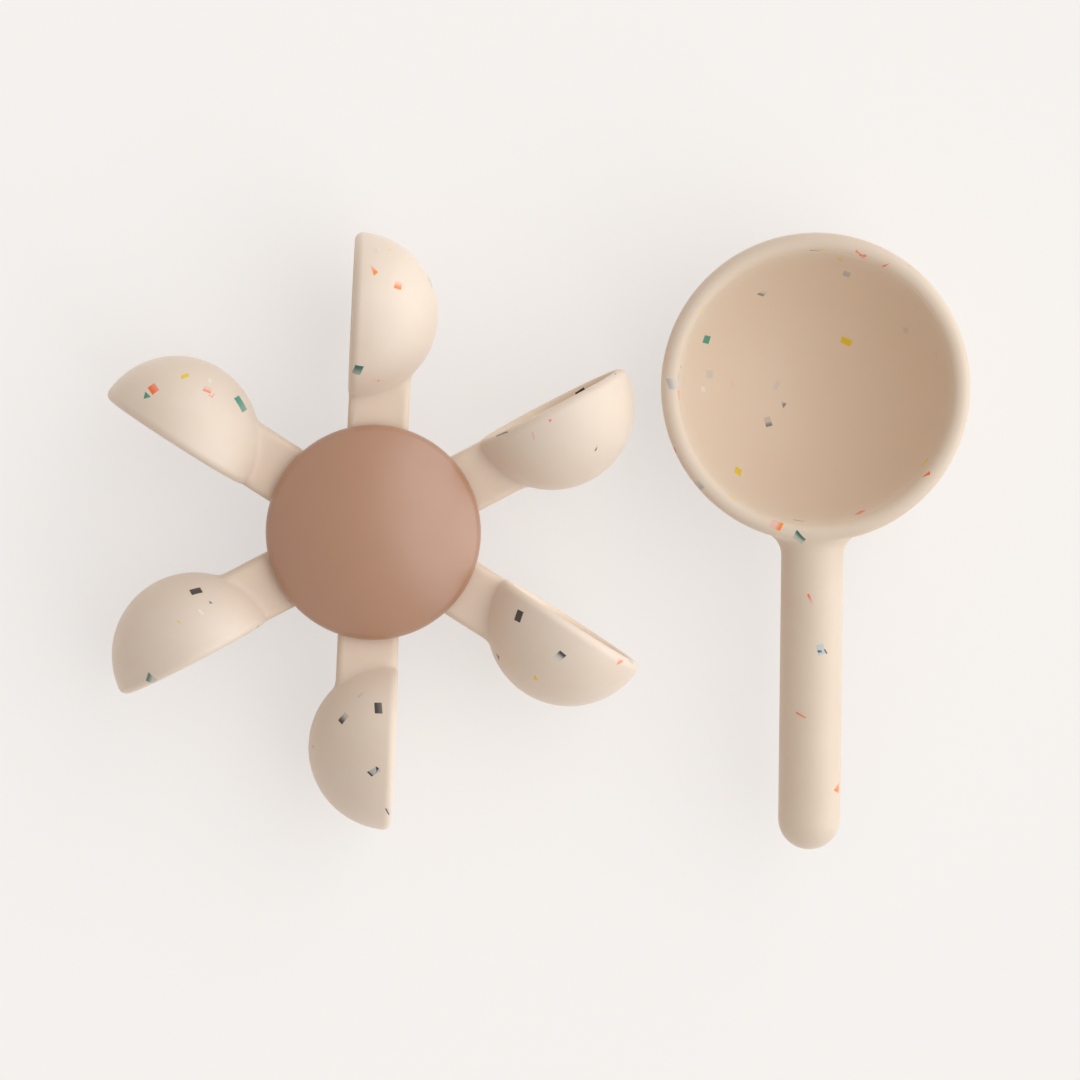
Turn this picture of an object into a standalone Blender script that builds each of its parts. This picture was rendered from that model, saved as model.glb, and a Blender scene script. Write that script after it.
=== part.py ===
"""Bath water wheel with its pouring scoop.

Six scoop arms are clamped between two hub shells. The hub turns on a fixed axle, which stands on a
suction base and carries a domed cap on its free end. A pouring scoop lies beside the wheel.
Units are metres and +Z is up. The origin is on the axle line, in the plane of the suction lip.
"""

import math

import bmesh
import bpy
from mathutils import Matrix

# Fits
GAP = 0.0003
RUNNING_GAP = 0.0006
CUT_ROOM = 0.0010

# Scoop arms
ARM_COUNT = 6
ARM_WIDTH = 0.0171
ARM_THICKNESS = 0.0090
ARM_EDGE_ROUND = 0.0017
TONGUE_WIDTH = 0.0096
BOWL_RADIUS = 0.0232
BOWL_WALL = 0.0030
BOWL_RISE = 0.0010
BOWL_TO_CAP = 0.0071
RIM_SETBACK = 0.0002

# Hub
HUB_WALL = 0.0025
HUB_PLATE = 0.0025
HUB_BOSS_WALL = 0.0034
PEG_INSET = 0.0062
PEG_RADIUS = 0.0024

# Axle and bearing
AXLE_RADIUS = 0.0040
AXLE_HEAD_RADIUS = 0.0065
AXLE_HEAD_THICKNESS = 0.0025
AXLE_SEAT = 0.0036
BUSH_WALL = 0.0020
WASHER_RADIUS = 0.0080
WASHER_THICKNESS = 0.0010
NUT_RADIUS = 0.0070
NUT_THICKNESS = 0.0010

# Hub cap
CAP_RADIUS = 0.0297
CAP_WALL = 0.0024
CAP_SIDE_ROOM = 0.0011
CAP_HEIGHT = 0.0132
CAP_EDGE_ROUND = 0.0036
CAP_DOME_RADIUS = 0.0520
CAP_BOSS_WALL = 0.0028

# Suction base
SUCTION_RADIUS = 0.0250
SUCTION_HEIGHT = 0.0080
SUCTION_LIP = 0.0009
SUCTION_LIP_FACE = 0.0020
SUCTION_HOLLOW = 0.0045
SUCTION_SHOULDER = 0.0110
NECK_RADIUS = 0.0060
HEAD_OVERHANG = 0.0025
HEAD_THICKNESS = 0.0026
HEAD_ROOM = 0.0007
HEAD_SIDE_ROOM = 0.0012
HOUSING_WALL = 0.0022
HOUSING_PLATE = 0.0028
HOUSING_EDGE_ROUND = 0.0035
HOUSING_BOSS_RADIUS = 0.0026
HOUSING_BOSS_ROOM = 0.0019
RETAINER_THICKNESS = 0.0036

# Screws
SCREW_COUNT = 3
SCREW_RADIUS = 0.0010
SCREW_LENGTH = 0.0070
SCREW_HEAD_RADIUS = 0.0022
SCREW_HEAD_FLAT = 0.0015
SCREW_HEAD_THICKNESS = 0.0015

# Pouring scoop
SCOOP_RADIUS = 0.0433
SCOOP_WALL = 0.0050
SCOOP_FOOT_RADIUS = 0.0195
SCOOP_FOOT_THICKNESS = 0.0030
HANDLE_RADIUS = 0.00875
HANDLE_REACH = 0.1296
HANDLE_DROP = 0.0030
HANDLE_WALL = 0.0022
HANDLE_ROOF = 0.0055
SCOOP_APART = 0.0035
SCOOP_BEARING = math.radians(21.2)
SCOOP_TURN = math.radians(1.84)

# Facets
FINE_STEPS = 36
BOWL_STEPS = 24
PIN_STEPS = 20
SCREW_STEPS = 12
LIP_STEPS = 4
ROUND_STEPS = 3
CUP_ROWS = 5
CAP_ROWS = 5
BOWL_ROWS = 7
SCOOP_ROWS = 9

# Finishes: name, red, green and blue, roughness, metallic value
CREAM_PLASTIC = ("cream_plastic", (0.82, 0.70, 0.58), 0.45, 0.0)
CLAY_PLASTIC = ("clay_plastic", (0.46, 0.28, 0.19), 0.50, 0.0)
CLAY_SILICONE = ("clay_silicone", (0.44, 0.29, 0.21), 0.60, 0.0)
BEARING_PLASTIC = ("bearing_plastic", (0.80, 0.79, 0.76), 0.40, 0.0)
STAINLESS_STEEL = ("stainless_steel", (0.62, 0.62, 0.63), 0.30, 1.0)

# Heights, stacked up from the suction lip
RETAINER_BOTTOM = SUCTION_HEIGHT + GAP
RETAINER_TOP = RETAINER_BOTTOM + RETAINER_THICKNESS
HEAD_BOTTOM = RETAINER_TOP + GAP
HEAD_TOP = HEAD_BOTTOM + HEAD_THICKNESS
AXLE_HEAD_BOTTOM = HEAD_TOP + HEAD_ROOM
AXLE_HEAD_TOP = AXLE_HEAD_BOTTOM + AXLE_HEAD_THICKNESS
HOUSING_PLATE_BOTTOM = AXLE_HEAD_TOP + GAP
HOUSING_TOP = HOUSING_PLATE_BOTTOM + HOUSING_PLATE
REAR_WASHER_BOTTOM = HOUSING_TOP + GAP
HUB_BOTTOM = REAR_WASHER_BOTTOM + WASHER_THICKNESS + GAP
ARM_BOTTOM = HUB_BOTTOM + HUB_PLATE + GAP
WHEEL_PLANE = ARM_BOTTOM + ARM_THICKNESS / 2
ARM_TOP = ARM_BOTTOM + ARM_THICKNESS
HUB_TOP = ARM_TOP + GAP + HUB_PLATE
FRONT_WASHER_BOTTOM = HUB_TOP + GAP
NUT_BOTTOM = FRONT_WASHER_BOTTOM + WASHER_THICKNESS + GAP
CAP_BOSS_BOTTOM = NUT_BOTTOM + NUT_THICKNESS + GAP
AXLE_TOP = CAP_BOSS_BOTTOM + AXLE_SEAT
CAP_BOTTOM = ARM_TOP + RUNNING_GAP
CAP_TOP = CAP_BOTTOM + CAP_HEIGHT

# Radii and places that follow from the sizes above
HUB_RADIUS = CAP_RADIUS - CAP_WALL - CAP_SIDE_ROOM
PEG_CIRCLE = HUB_RADIUS - PEG_INSET
AXLE_HOLE = AXLE_RADIUS + GAP
BUSH_RADIUS = AXLE_HOLE + BUSH_WALL
HUB_BORE = BUSH_RADIUS + GAP
HUB_BOSS_RADIUS = HUB_BORE + HUB_BOSS_WALL
TONGUE_ROOT = HUB_BOSS_RADIUS + GAP
ARM_ROOT = (ARM_WIDTH / 2 + GAP) / math.tan(math.pi / ARM_COUNT) + GAP
RIM_CREST = ARM_WIDTH / 2 - RIM_SETBACK
BOWL_OFFSET = RIM_CREST - BOWL_RISE
BOWL_REACH = CAP_RADIUS + BOWL_TO_CAP + BOWL_RADIUS
WHEEL_RADIUS = math.hypot(BOWL_REACH + BOWL_RADIUS, RIM_CREST)
SCREW_HOLE = SCREW_RADIUS + GAP
COUNTERBORE_DEPTH = SCREW_HEAD_THICKNESS + 2 * GAP
HEAD_RADIUS = NECK_RADIUS + HEAD_OVERHANG
HOUSING_BOSS_CIRCLE = HEAD_RADIUS + HEAD_SIDE_ROOM + HOUSING_BOSS_RADIUS
HOUSING_BORE = HOUSING_BOSS_CIRCLE + HOUSING_BOSS_RADIUS + HOUSING_BOSS_ROOM
HOUSING_RADIUS = HOUSING_BORE + HOUSING_WALL
SCOOP_CENTRE = math.sqrt(SCOOP_RADIUS**2 - SCOOP_FOOT_RADIUS**2)
HANDLE_AXIS = SCOOP_CENTRE + SCOOP_WALL / 2 - HANDLE_DROP - HANDLE_RADIUS
HANDLE_TIP = HANDLE_REACH - HANDLE_RADIUS
SCOOP_DISTANCE = WHEEL_RADIUS + SCOOP_APART + SCOOP_RADIUS
SCOOP_X = SCOOP_DISTANCE * math.cos(SCOOP_BEARING)
SCOOP_Y = SCOOP_DISTANCE * math.sin(SCOOP_BEARING)

MERGE_DISTANCE = 0.00001
SMOOTH_ANGLE = math.radians(35.0)


def clear_scene():
    """Removes the objects of the scene that the script starts from."""
    for obj in list(bpy.data.objects):
        bpy.data.objects.remove(obj)


def new_collection(name, parent):
    """A collection of this name inside another."""
    made = bpy.data.collections.new(name)
    parent.children.link(made)
    return made


def finish_material(finish):
    """The Principled material of a finish, made once."""
    name, colour, roughness, metallic = finish
    found = bpy.data.materials.get(name)
    if found:
        return found
    made = bpy.data.materials.new(name)
    made.use_nodes = True
    shader = made.node_tree.nodes["Principled BSDF"]
    shader.inputs["Base Color"].default_value = (*colour, 1.0)
    shader.inputs["Roughness"].default_value = roughness
    shader.inputs["Metallic"].default_value = metallic
    return made


def mesh_object(name, shape, group):
    """An object from a bmesh, which is used up."""
    mesh = bpy.data.meshes.new(name)
    shape.to_mesh(mesh)
    shape.free()
    obj = bpy.data.objects.new(name, mesh)
    group.objects.link(obj)
    return obj


def arc(centre_r, centre_z, radius, start, end, steps, height=None):
    """Points (r, z) of a round stretch between two angles in degrees; a height makes it elliptic."""
    height = radius if height is None else height
    points = []
    for step in range(steps + 1):
        angle = math.radians(start + (end - start) * step / steps)
        points.append((centre_r + radius * math.cos(angle), centre_z + height * math.sin(angle)))
    return points


def turned(name, profile, steps, group, closed=True):
    """A shape turned about Z. The profile runs down its outer side; an open one ends on the axis."""
    shape = bmesh.new()
    points = [shape.verts.new((0.0 if abs(r) < MERGE_DISTANCE else r, 0.0, z)) for r, z in profile]
    for first, second in zip(points, points[1:]):
        shape.edges.new((first, second))
    if closed:
        shape.edges.new((points[-1], points[0]))
    obj = mesh_object(name, shape, group)
    screw = obj.modifiers.new("turn", "SCREW")
    screw.axis = "Z"
    screw.steps = steps
    screw.render_steps = steps
    screw.use_merge_vertices = True
    screw.merge_threshold = MERGE_DISTANCE
    return obj


def cylinder(name, radius, bottom, top, group, place):
    """A small cylinder that stands on the point (x, y)."""
    shape = bmesh.new()
    lift = Matrix.Translation((*place, (bottom + top) / 2))
    bmesh.ops.create_cone(
        shape,
        cap_ends=True,
        segments=SCREW_STEPS,
        radius1=radius,
        radius2=radius,
        depth=top - bottom,
        matrix=lift,
    )
    return mesh_object(name, shape, group)


def ball(name, radius, height, steps, rows, group):
    """A ball about the origin, its pole on Z, with this half height."""
    shape = bmesh.new()
    stretch = Matrix.Diagonal((1.0, 1.0, height / radius, 1.0))
    bmesh.ops.create_uvsphere(shape, u_segments=steps, v_segments=rows, radius=radius, matrix=stretch)
    return mesh_object(name, shape, group)


def plate(name, outline, bottom, top, group):
    """A flat outline of (x, y) points with a thickness."""
    curve = bpy.data.curves.new(name, "CURVE")
    curve.dimensions = "2D"
    curve.fill_mode = "BOTH"
    curve.extrude = (top - bottom) / 2
    spline = curve.splines.new("POLY")
    spline.points.add(len(outline) - 1)
    for point, (x, y) in zip(spline.points, outline):
        point.co = (x, y, 0.0, 1.0)
    spline.use_cyclic_u = True
    flat = bpy.data.objects.new(name, curve)
    group.objects.link(flat)
    shape = bmesh.new()
    shape.from_mesh(finished_mesh(flat))
    bpy.data.objects.remove(flat)
    bmesh.ops.remove_doubles(shape, verts=shape.verts, dist=MERGE_DISTANCE)
    bmesh.ops.translate(shape, verts=shape.verts, vec=(0.0, 0.0, (bottom + top) / 2))
    return mesh_object(name, shape, group)


def boolean(obj, operation, operand):
    """Cuts obj by, or joins it to, an object or all the objects of a collection."""
    step = obj.modifiers.new(operation.lower(), "BOOLEAN")
    step.operation = operation
    if isinstance(operand, bpy.types.Collection):
        step.operand_type = "COLLECTION"
        step.collection = operand
    else:
        step.object = operand


def rounded(obj, width, steps):
    """Rounds the sharp edges of obj."""
    bevel = obj.modifiers.new("round", "BEVEL")
    bevel.width = width
    bevel.segments = steps
    bevel.limit_method = "ANGLE"


def finished_mesh(obj):
    """The mesh that obj and its modifiers give."""
    graph = bpy.context.evaluated_depsgraph_get()
    return bpy.data.meshes.new_from_object(obj.evaluated_get(graph))


def helper(obj):
    """Marks a cutter or a joined shape, which is no part of its own."""
    obj.hide_render = True
    obj.display_type = "WIRE"
    return obj


def around(radius, count):
    """Places (x, y) evenly round the axle, the first on +Y."""
    for index in range(count):
        angle = math.pi / 2 - index * 2 * math.pi / count
        yield radius * math.cos(angle), radius * math.sin(angle)


def dress(obj, finish):
    """Gives a part its finish and shades its round faces smooth."""
    obj.data.materials.clear()
    obj.data.materials.append(finish_material(finish))
    obj.data.shade_smooth()
    obj.data.set_sharp_from_angle(angle=SMOOTH_ANGLE)


def settle(obj, finish):
    """Replaces obj's modifiers by the mesh that they give, and dresses it."""
    obj.data = finished_mesh(obj)
    obj.modifiers.clear()
    dress(obj, finish)
    return obj


def attach(obj, wheel):
    """Makes obj turn with the wheel, and leaves it where it is."""
    obj.parent = wheel
    obj.matrix_parent_inverse = Matrix.Translation(wheel.location).inverted()


def ring(name, inner, outer, bottom, top, parts, finish):
    """A washer or a sleeve."""
    profile = [(outer, top), (outer, bottom), (inner, bottom), (inner, top)]
    return settle(turned(name, profile, PIN_STEPS, parts), finish)


def bowl_profile():
    """The arm's bowl, mouth up, its ball's centre at the origin: inner side, lip, outer side."""
    lip_height = BOWL_RISE - BOWL_WALL / 2
    inner_radius = BOWL_RADIUS - BOWL_WALL
    inner_angle = math.degrees(math.asin(lip_height / inner_radius))
    outer_angle = math.degrees(math.asin(lip_height / BOWL_RADIUS))
    inside = arc(0.0, 0.0, inner_radius, -90.0, inner_angle, BOWL_ROWS - 1)
    lip = arc(BOWL_RADIUS - BOWL_WALL / 2, lip_height, BOWL_WALL / 2, 180.0, 0.0, LIP_STEPS)
    outside = arc(0.0, 0.0, BOWL_RADIUS, outer_angle, -90.0, BOWL_ROWS)
    return inside + lip[1:-1] + outside


def arm_mesh(cutters):
    """One scoop arm along +X, its bowl open towards +Y: a tongue, a bar and a bowl in one moulding."""
    half_tongue = TONGUE_WIDTH / 2
    half_width = ARM_WIDTH / 2
    half = ARM_THICKNESS / 2
    outline = [
        (TONGUE_ROOT, -half_tongue),
        (ARM_ROOT, -half_tongue),
        (ARM_ROOT, -half_width),
        (BOWL_REACH, -half_width),
        (BOWL_REACH, half_width),
        (ARM_ROOT, half_width),
        (ARM_ROOT, half_tongue),
        (TONGUE_ROOT, half_tongue),
    ]
    bar = helper(plate("arm_bar", outline, -half, half, cutters))
    rounded(bar, ARM_EDGE_ROUND, ROUND_STEPS - 1)
    reach = half + CUT_ROOM
    hole = cylinder("arm_peg_hole", PEG_RADIUS + GAP, -reach, reach, cutters, (PEG_CIRCLE, 0.0))
    middle = BOWL_RADIUS - BOWL_WALL / 2
    hollow = ball("arm_bowl_hollow", middle, middle, BOWL_STEPS, 2 * BOWL_ROWS, cutters)
    shell = turned("arm_bowl", bowl_profile(), BOWL_STEPS, cutters, closed=False)
    for obj in (hollow, shell):
        obj.location = (BOWL_REACH, BOWL_OFFSET, 0.0)
        obj.rotation_euler = (-math.pi / 2, 0.0, 0.0)
    for obj, operation in ((hole, "DIFFERENCE"), (hollow, "DIFFERENCE"), (shell, "UNION")):
        boolean(bar, operation, helper(obj))
    return finished_mesh(bar)


def scoop_arms(parts, cutters, wheel):
    """The scoop arms, spread evenly round the hub, the first along +Y."""
    mesh = arm_mesh(cutters)
    for index in range(ARM_COUNT):
        obj = bpy.data.objects.new(f"scoop_arm_{index + 1}", mesh)
        parts.objects.link(obj)
        obj.parent = wheel
        obj.rotation_euler = (0.0, 0.0, math.pi / 2 - index * 2 * math.pi / ARM_COUNT)
        dress(obj, CREAM_PLASTIC)


def hub_profile():
    """The rear hub shell: a plate with an outer wall and a boss, up to the wheel's middle plane."""
    rim = WHEEL_PLANE - GAP / 2
    floor = HUB_BOTTOM + HUB_PLATE
    return [
        (HUB_RADIUS, rim),
        (HUB_RADIUS, HUB_BOTTOM + GAP),
        (HUB_RADIUS - GAP, HUB_BOTTOM),
        (HUB_BORE, HUB_BOTTOM),
        (HUB_BORE, rim),
        (HUB_BOSS_RADIUS, rim),
        (HUB_BOSS_RADIUS, floor),
        (HUB_RADIUS - HUB_WALL, floor),
        (HUB_RADIUS - HUB_WALL, rim),
    ]


def arm_slots(cutters):
    """Cutters for the arms' ways through the hub's wall."""
    group = new_collection("arm_slots", cutters)
    end = HUB_RADIUS + CUT_ROOM
    half = ARM_WIDTH / 2 + GAP
    outline = [(ARM_ROOT, -half), (end, -half), (end, half), (ARM_ROOT, half)]
    for index in range(ARM_COUNT):
        slot = plate(f"arm_slot_{index + 1}", outline, ARM_BOTTOM - GAP, ARM_TOP + GAP, group)
        slot.rotation_euler = (0.0, 0.0, math.pi / 2 - index * 2 * math.pi / ARM_COUNT)
        helper(slot)
    return group


def hub_shells(parts, cutters, wheel):
    """The two hub shells that clamp the arms, with pegs through the arms and holes for the screws."""
    slots = arm_slots(cutters)
    pegs = new_collection("pegs", cutters)
    peg_bottom = HUB_BOTTOM + HUB_PLATE / 2
    for index, place in enumerate(around(PEG_CIRCLE, ARM_COUNT)):
        helper(cylinder(f"peg_{index + 1}", PEG_RADIUS, peg_bottom, ARM_TOP, pegs, place))
    holes = new_collection("hub_screw_holes", cutters)
    hole_bottom = HUB_TOP - SCREW_LENGTH
    hole_top = HUB_TOP + CUT_ROOM
    for index, place in enumerate(around(PEG_CIRCLE, SCREW_COUNT)):
        helper(cylinder(f"hub_screw_hole_{index + 1}", SCREW_HOLE, hole_bottom, hole_top, holes, place))
    rear = turned("hub_rear", hub_profile(), FINE_STEPS, parts)
    boolean(rear, "DIFFERENCE", slots)
    boolean(rear, "UNION", pegs)
    boolean(rear, "DIFFERENCE", holes)
    mirrored = [(r, 2 * WHEEL_PLANE - z) for r, z in reversed(hub_profile())]
    front = turned("hub_front", mirrored, FINE_STEPS, parts)
    boolean(front, "DIFFERENCE", slots)
    boolean(front, "DIFFERENCE", holes)
    for obj in (rear, front):
        settle(obj, CREAM_PLASTIC)
        attach(obj, wheel)


def screw_profile():
    """A pan-head screw, head up, its seat at height 0."""
    return [
        (0.0, SCREW_HEAD_THICKNESS),
        (SCREW_HEAD_FLAT, SCREW_HEAD_THICKNESS),
        (SCREW_HEAD_RADIUS, SCREW_HEAD_THICKNESS / 2),
        (SCREW_HEAD_RADIUS, 0.0),
        (SCREW_RADIUS, 0.0),
        (SCREW_RADIUS, SCREW_RADIUS - SCREW_LENGTH),
        (0.0, -SCREW_LENGTH),
    ]


def screws(name, circle, seat, tilt, parts):
    """Screws on a circle, their heads up, or down with a tilt of half a turn."""
    made = []
    for index, place in enumerate(around(circle, SCREW_COUNT)):
        screw = turned(f"{name}_{index + 1}", screw_profile(), SCREW_STEPS, parts, closed=False)
        settle(screw, STAINLESS_STEEL)
        screw.location = (*place, seat)
        screw.rotation_euler = (tilt, 0.0, 0.0)
        made.append(screw)
    return made


def bearing(parts, wheel):
    """The sleeve in the hub, the washers at its ends and the push nut that keeps the wheel on the axle."""
    sleeve = ring("axle_bush", AXLE_HOLE, BUSH_RADIUS, HUB_BOTTOM, HUB_TOP, parts, BEARING_PLASTIC)
    attach(sleeve, wheel)
    for name, bottom in (("rear_washer", REAR_WASHER_BOTTOM), ("front_washer", FRONT_WASHER_BOTTOM)):
        ring(name, AXLE_HOLE, WASHER_RADIUS, bottom, bottom + WASHER_THICKNESS, parts, BEARING_PLASTIC)
    ring("push_nut", AXLE_HOLE, NUT_RADIUS, NUT_BOTTOM, NUT_BOTTOM + NUT_THICKNESS, parts, STAINLESS_STEEL)


def axle_pin(parts):
    """The fixed axle: its head is under the housing's plate, its free end is in the cap."""
    profile = [
        (0.0, AXLE_TOP),
        (AXLE_RADIUS - GAP, AXLE_TOP),
        (AXLE_RADIUS, AXLE_TOP - GAP),
        (AXLE_RADIUS, AXLE_HEAD_TOP),
        (AXLE_HEAD_RADIUS, AXLE_HEAD_TOP),
        (AXLE_HEAD_RADIUS, AXLE_HEAD_BOTTOM),
        (0.0, AXLE_HEAD_BOTTOM),
    ]
    settle(turned("axle_pin", profile, PIN_STEPS, parts, closed=False), STAINLESS_STEEL)


def hub_cap(parts):
    """The domed cap: a hollow shell with a blind socket for the axle's end."""
    dome_centre = CAP_TOP - CAP_DOME_RADIUS
    ceiling_radius = CAP_DOME_RADIUS - CAP_WALL
    edge = CAP_RADIUS - CAP_EDGE_ROUND
    edge_angle = math.degrees(math.acos(edge / (CAP_DOME_RADIUS - CAP_EDGE_ROUND)))
    shoulder = dome_centre + edge * math.tan(math.radians(edge_angle))
    lip = CAP_WALL / 2
    boss = AXLE_HOLE + CAP_BOSS_WALL
    boss_angle = math.degrees(math.acos(boss / ceiling_radius))
    socket_end = AXLE_TOP + GAP
    profile = arc(0.0, dome_centre, CAP_DOME_RADIUS, 90.0, edge_angle, CAP_ROWS)
    profile += arc(edge, shoulder, CAP_EDGE_ROUND, edge_angle, 0.0, ROUND_STEPS)[1:]
    profile += arc(CAP_RADIUS - lip, CAP_BOTTOM + lip, lip, 0.0, -180.0, LIP_STEPS)
    profile += arc(edge, shoulder, CAP_EDGE_ROUND - CAP_WALL, 0.0, edge_angle, ROUND_STEPS - 1)
    profile += arc(0.0, dome_centre, ceiling_radius, edge_angle, boss_angle, CAP_ROWS - 1)[1:]
    profile += [
        (boss, CAP_BOSS_BOTTOM),
        (AXLE_HOLE, CAP_BOSS_BOTTOM),
        (AXLE_HOLE, socket_end),
        (0.0, socket_end),
    ]
    settle(turned("hub_cap", profile, FINE_STEPS, parts, closed=False), CLAY_PLASTIC)


def suction_cup(parts):
    """The soft cup: a bell with a flat lip, a neck, and a button head that the base holds."""
    bell = SUCTION_RADIUS - SUCTION_SHOULDER
    bell_height = SUCTION_HEIGHT - SUCTION_LIP
    hollow = SUCTION_RADIUS - SUCTION_LIP_FACE
    profile = [
        (0.0, HEAD_TOP),
        (HEAD_RADIUS - GAP, HEAD_TOP),
        (HEAD_RADIUS, HEAD_TOP - GAP),
        (HEAD_RADIUS, HEAD_BOTTOM),
        (NECK_RADIUS, HEAD_BOTTOM),
        (NECK_RADIUS, SUCTION_HEIGHT),
    ]
    profile += arc(SUCTION_SHOULDER, SUCTION_LIP, bell, 90.0, 0.0, CUP_ROWS, height=bell_height)
    profile += [(SUCTION_RADIUS, 0.0)]
    profile += arc(0.0, 0.0, hollow, 0.0, 90.0, CUP_ROWS, height=SUCTION_HOLLOW)
    settle(turned("suction_cup", profile, FINE_STEPS, parts, closed=False), CLAY_SILICONE)


def base_housing(parts, cutters):
    """The round post between the cup and the wheel: open below, with a plate for the axle, and bosses."""
    edge = HOUSING_RADIUS - HOUSING_EDGE_ROUND
    inner = HOUSING_EDGE_ROUND / 2
    profile = arc(edge, HOUSING_TOP - HOUSING_EDGE_ROUND, HOUSING_EDGE_ROUND, 90.0, 0.0, ROUND_STEPS)
    profile += [(HOUSING_RADIUS, RETAINER_BOTTOM), (HOUSING_BORE, RETAINER_BOTTOM)]
    profile += arc(HOUSING_BORE - inner, HOUSING_PLATE_BOTTOM - inner, inner, 0.0, 90.0, ROUND_STEPS)
    profile += [(AXLE_HOLE, HOUSING_PLATE_BOTTOM), (AXLE_HOLE, HOUSING_TOP)]
    housing = turned("base_housing", profile, FINE_STEPS, parts)
    bosses = new_collection("housing_bosses", cutters)
    holes = new_collection("housing_screw_holes", cutters)
    boss_top = HOUSING_PLATE_BOTTOM + HOUSING_PLATE / 2
    hole_bottom = HEAD_BOTTOM - CUT_ROOM
    hole_top = RETAINER_BOTTOM + COUNTERBORE_DEPTH + SCREW_LENGTH
    for index, place in enumerate(around(HOUSING_BOSS_CIRCLE, SCREW_COUNT)):
        helper(cylinder(f"housing_boss_{index + 1}", HOUSING_BOSS_RADIUS, HEAD_BOTTOM, boss_top, bosses, place))
        helper(cylinder(f"housing_hole_{index + 1}", SCREW_HOLE, hole_bottom, hole_top, holes, place))
    boolean(housing, "UNION", bosses)
    boolean(housing, "DIFFERENCE", holes)
    settle(housing, CLAY_PLASTIC)


def suction_retainer(parts, cutters):
    """The plate that closes the housing from below and holds the suction cup's neck."""
    outer = HOUSING_BORE - GAP
    inner = NECK_RADIUS + GAP
    profile = [(outer, RETAINER_TOP), (outer, RETAINER_BOTTOM), (inner, RETAINER_BOTTOM), (inner, RETAINER_TOP)]
    retainer = turned("suction_retainer", profile, FINE_STEPS, parts)
    holes = new_collection("retainer_holes", cutters)
    seats = new_collection("retainer_counterbores", cutters)
    below = RETAINER_BOTTOM - CUT_ROOM
    above = RETAINER_TOP + CUT_ROOM
    seat_top = RETAINER_BOTTOM + COUNTERBORE_DEPTH
    seat_radius = SCREW_HEAD_RADIUS + GAP
    for index, place in enumerate(around(HOUSING_BOSS_CIRCLE, SCREW_COUNT)):
        helper(cylinder(f"retainer_hole_{index + 1}", SCREW_HOLE, below, above, holes, place))
        helper(cylinder(f"retainer_counterbore_{index + 1}", seat_radius, below, seat_top, seats, place))
    boolean(retainer, "DIFFERENCE", holes)
    boolean(retainer, "DIFFERENCE", seats)
    settle(retainer, CLAY_PLASTIC)


def handle_core(cutters):
    """The hollow under the scoop's handle, open below: a slot with round ends along -Y."""
    radius = HANDLE_RADIUS - HANDLE_WALL
    start = SCOOP_RADIUS + HANDLE_WALL + radius
    bottom = HANDLE_AXIS - HANDLE_RADIUS - CUT_ROOM
    top = HANDLE_AXIS + HANDLE_RADIUS - HANDLE_ROOF
    near = arc(0.0, -start, radius, 0.0, 180.0, 2 * ROUND_STEPS)
    far = arc(0.0, -HANDLE_TIP, radius, 180.0, 360.0, 2 * ROUND_STEPS)
    return plate("handle_core", near + far, bottom, top, cutters)


def scoop_bowl(cutters):
    """The pouring scoop's deep bowl on a flat foot."""
    inner = SCOOP_RADIUS - SCOOP_WALL
    depth = SCOOP_CENTRE - SCOOP_FOOT_THICKNESS
    foot_angle = -math.degrees(math.asin(SCOOP_CENTRE / SCOOP_RADIUS))
    inside = arc(0.0, SCOOP_CENTRE, inner, -90.0, 0.0, SCOOP_ROWS, height=depth)
    lip = arc(SCOOP_RADIUS - SCOOP_WALL / 2, SCOOP_CENTRE, SCOOP_WALL / 2, 180.0, 0.0, LIP_STEPS)
    outside = arc(0.0, SCOOP_CENTRE, SCOOP_RADIUS, 0.0, foot_angle, SCOOP_ROWS)
    profile = inside + lip[1:-1] + outside + [(0.0, 0.0)]
    return turned("scoop_bowl", profile, FINE_STEPS, cutters, closed=False)


def pouring_scoop(parts, cutters):
    """The loose scoop: a deep bowl with a round-ended handle, which is cored from below."""
    profile = [(0.0, 0.0), (HANDLE_RADIUS, 0.0)]
    profile += arc(0.0, -HANDLE_TIP, HANDLE_RADIUS, 0.0, -90.0, CUP_ROWS)
    scoop = turned("pouring_scoop", profile, PIN_STEPS, parts, closed=False)
    scoop.rotation_euler = (-math.pi / 2, 0.0, 0.0)
    scoop.location = (0.0, 0.0, HANDLE_AXIS)
    middle = SCOOP_RADIUS - SCOOP_WALL / 2
    depth = SCOOP_CENTRE - SCOOP_FOOT_THICKNESS / 2
    hollow = ball("scoop_hollow", middle, depth, FINE_STEPS, 2 * SCOOP_ROWS, cutters)
    hollow.location = (0.0, 0.0, SCOOP_CENTRE)
    boolean(scoop, "DIFFERENCE", helper(handle_core(cutters)))
    boolean(scoop, "DIFFERENCE", helper(hollow))
    boolean(scoop, "UNION", helper(scoop_bowl(cutters)))
    settle(scoop, CREAM_PLASTIC)
    turn = Matrix.Translation((SCOOP_X, SCOOP_Y, 0.0)) @ Matrix.Rotation(SCOOP_TURN, 4, "Z")
    scoop.matrix_world = turn @ scoop.matrix_basis


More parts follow.
